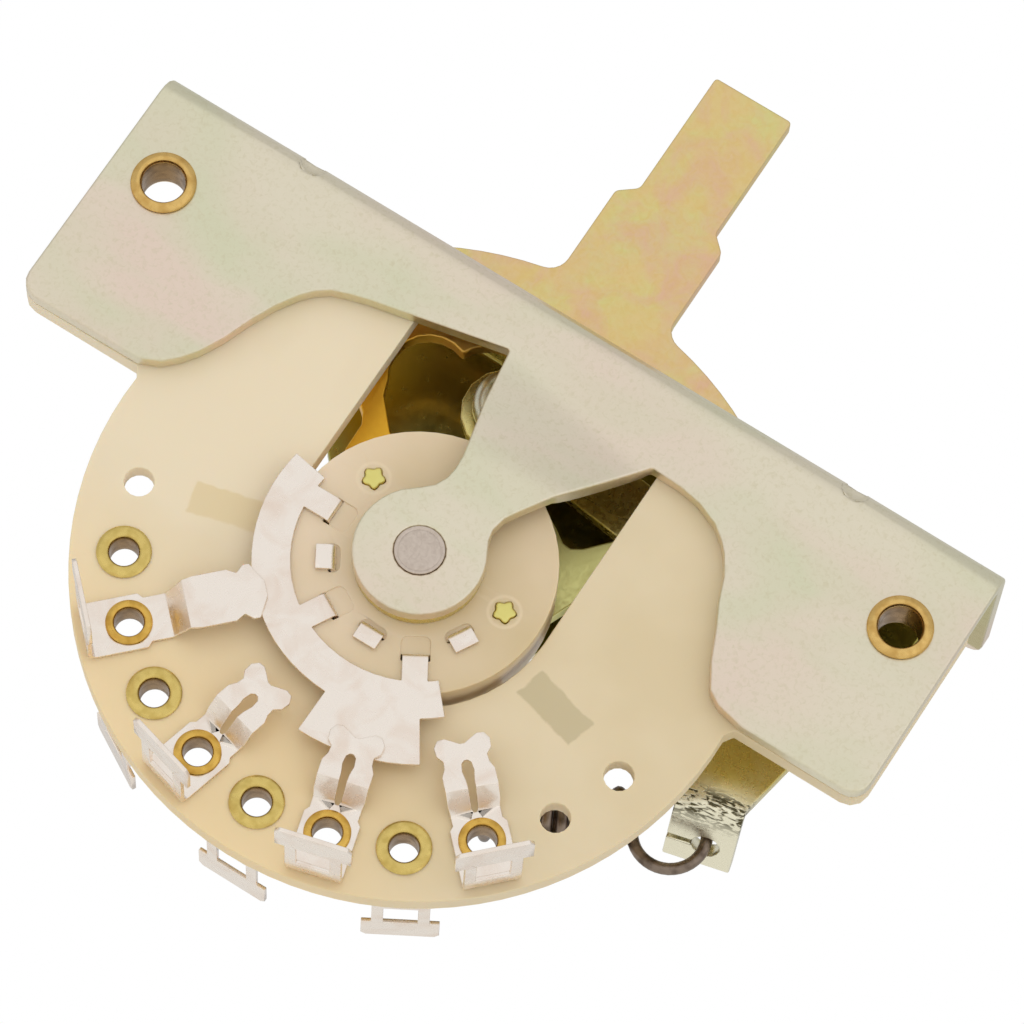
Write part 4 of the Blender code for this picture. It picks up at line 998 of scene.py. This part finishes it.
class SWITCH_OT_stage(bpy.types.Operator):
    """Sets the pale floor, the soft lamps and the camera"""

    bl_idname = "pickup_switch.stage"
    bl_label = "Stage"

    def execute(self, context):
        level = CAMERA_PLACE.z - FLOOR_BELOW_CAMERA
        bpy.ops.mesh.primitive_plane_add(size=FLOOR_SIDE, location=(0.0, 0.0, level))
        floor = context.active_object
        floor.name = "pale_floor"
        paint = new_material("matt_white_paint", linear("#f2f1ee"), 0.0, 0.8)[0]
        floor.data.materials.append(paint)
        white_room(ROOM_LEVEL, MIRRORED_LEVEL)
        back = CAMERA_RIGHT.cross(CAMERA_UP)
        mirror = Vector((-back.x, back.y, -back.z))
        softbox("key_softbox", HUB + mirror * KEY_DISTANCE, HUB, KEY_SIDE, KEY_WATTS)
        beside = HUB + back * FILL_BACK + CAMERA_RIGHT * FILL_RIGHT
        softbox("fill_softbox", beside, HUB, FILL_SIDE, FILL_WATTS)
        bpy.ops.object.camera_add(location=CAMERA_PLACE)
        camera = context.active_object
        camera.name = "photo_camera"
        camera.rotation_euler = Matrix((CAMERA_RIGHT, CAMERA_UP, back)).transposed().to_euler()
        camera.data.sensor_width = SENSOR
        camera.data.lens = CAMERA_LENS
        camera.data.clip_start = 0.01
        camera.data.clip_end = 10.0
        context.scene.camera = camera
        context.scene.view_settings.view_transform = "Standard"
        return {"FINISHED"}


PIECE_OPERATORS = (
    SWITCH_OT_frame,
    SWITCH_OT_wafer,
    SWITCH_OT_contacts,
    SWITCH_OT_eyelets,
    SWITCH_OT_lever,
    SWITCH_OT_pivot,
    SWITCH_OT_index,
    SWITCH_OT_spring,
    SWITCH_OT_stage,
)


class SWITCH_PT_panel(bpy.types.Panel):
    """Lists the pieces of the switch, their sizes and their colours"""

    bl_idname = "SWITCH_PT_panel"
    bl_label = "Pickup Selector Switch"
    bl_space_type = "VIEW_3D"
    bl_region_type = "UI"
    bl_category = "Switch"

    def draw(self, context):
        for operator in PIECE_OPERATORS:
            self.layout.operator(operator.bl_idname)
        for group in (context.scene.switch_sizes, context.scene.switch_colours):
            box = self.layout.box()
            for name in group.__annotations__:
                box.prop(group, name)


CLASSES = (SwitchSizes, SwitchColours, *PIECE_OPERATORS, SWITCH_PT_panel)


def register():
    for item in CLASSES:
        bpy.utils.register_class(item)
    bpy.types.Scene.switch_sizes = PointerProperty(type=SwitchSizes)
    bpy.types.Scene.switch_colours = PointerProperty(type=SwitchColours)


def unregister():
    del bpy.types.Scene.switch_colours
    del bpy.types.Scene.switch_sizes
    for item in reversed(CLASSES):
        bpy.utils.unregister_class(item)


def main():
    register()
    make_finishes(bpy.context.scene.switch_colours)
    bpy.ops.pickup_switch.frame()
    bpy.ops.pickup_switch.wafer()
    bpy.ops.pickup_switch.contacts()
    bpy.ops.pickup_switch.eyelets()
    bpy.ops.pickup_switch.lever()
    bpy.ops.pickup_switch.pivot()
    bpy.ops.pickup_switch.index()
    bpy.ops.pickup_switch.spring()
    bpy.ops.pickup_switch.stage()
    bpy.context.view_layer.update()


if __name__ == "__main__":
    main()
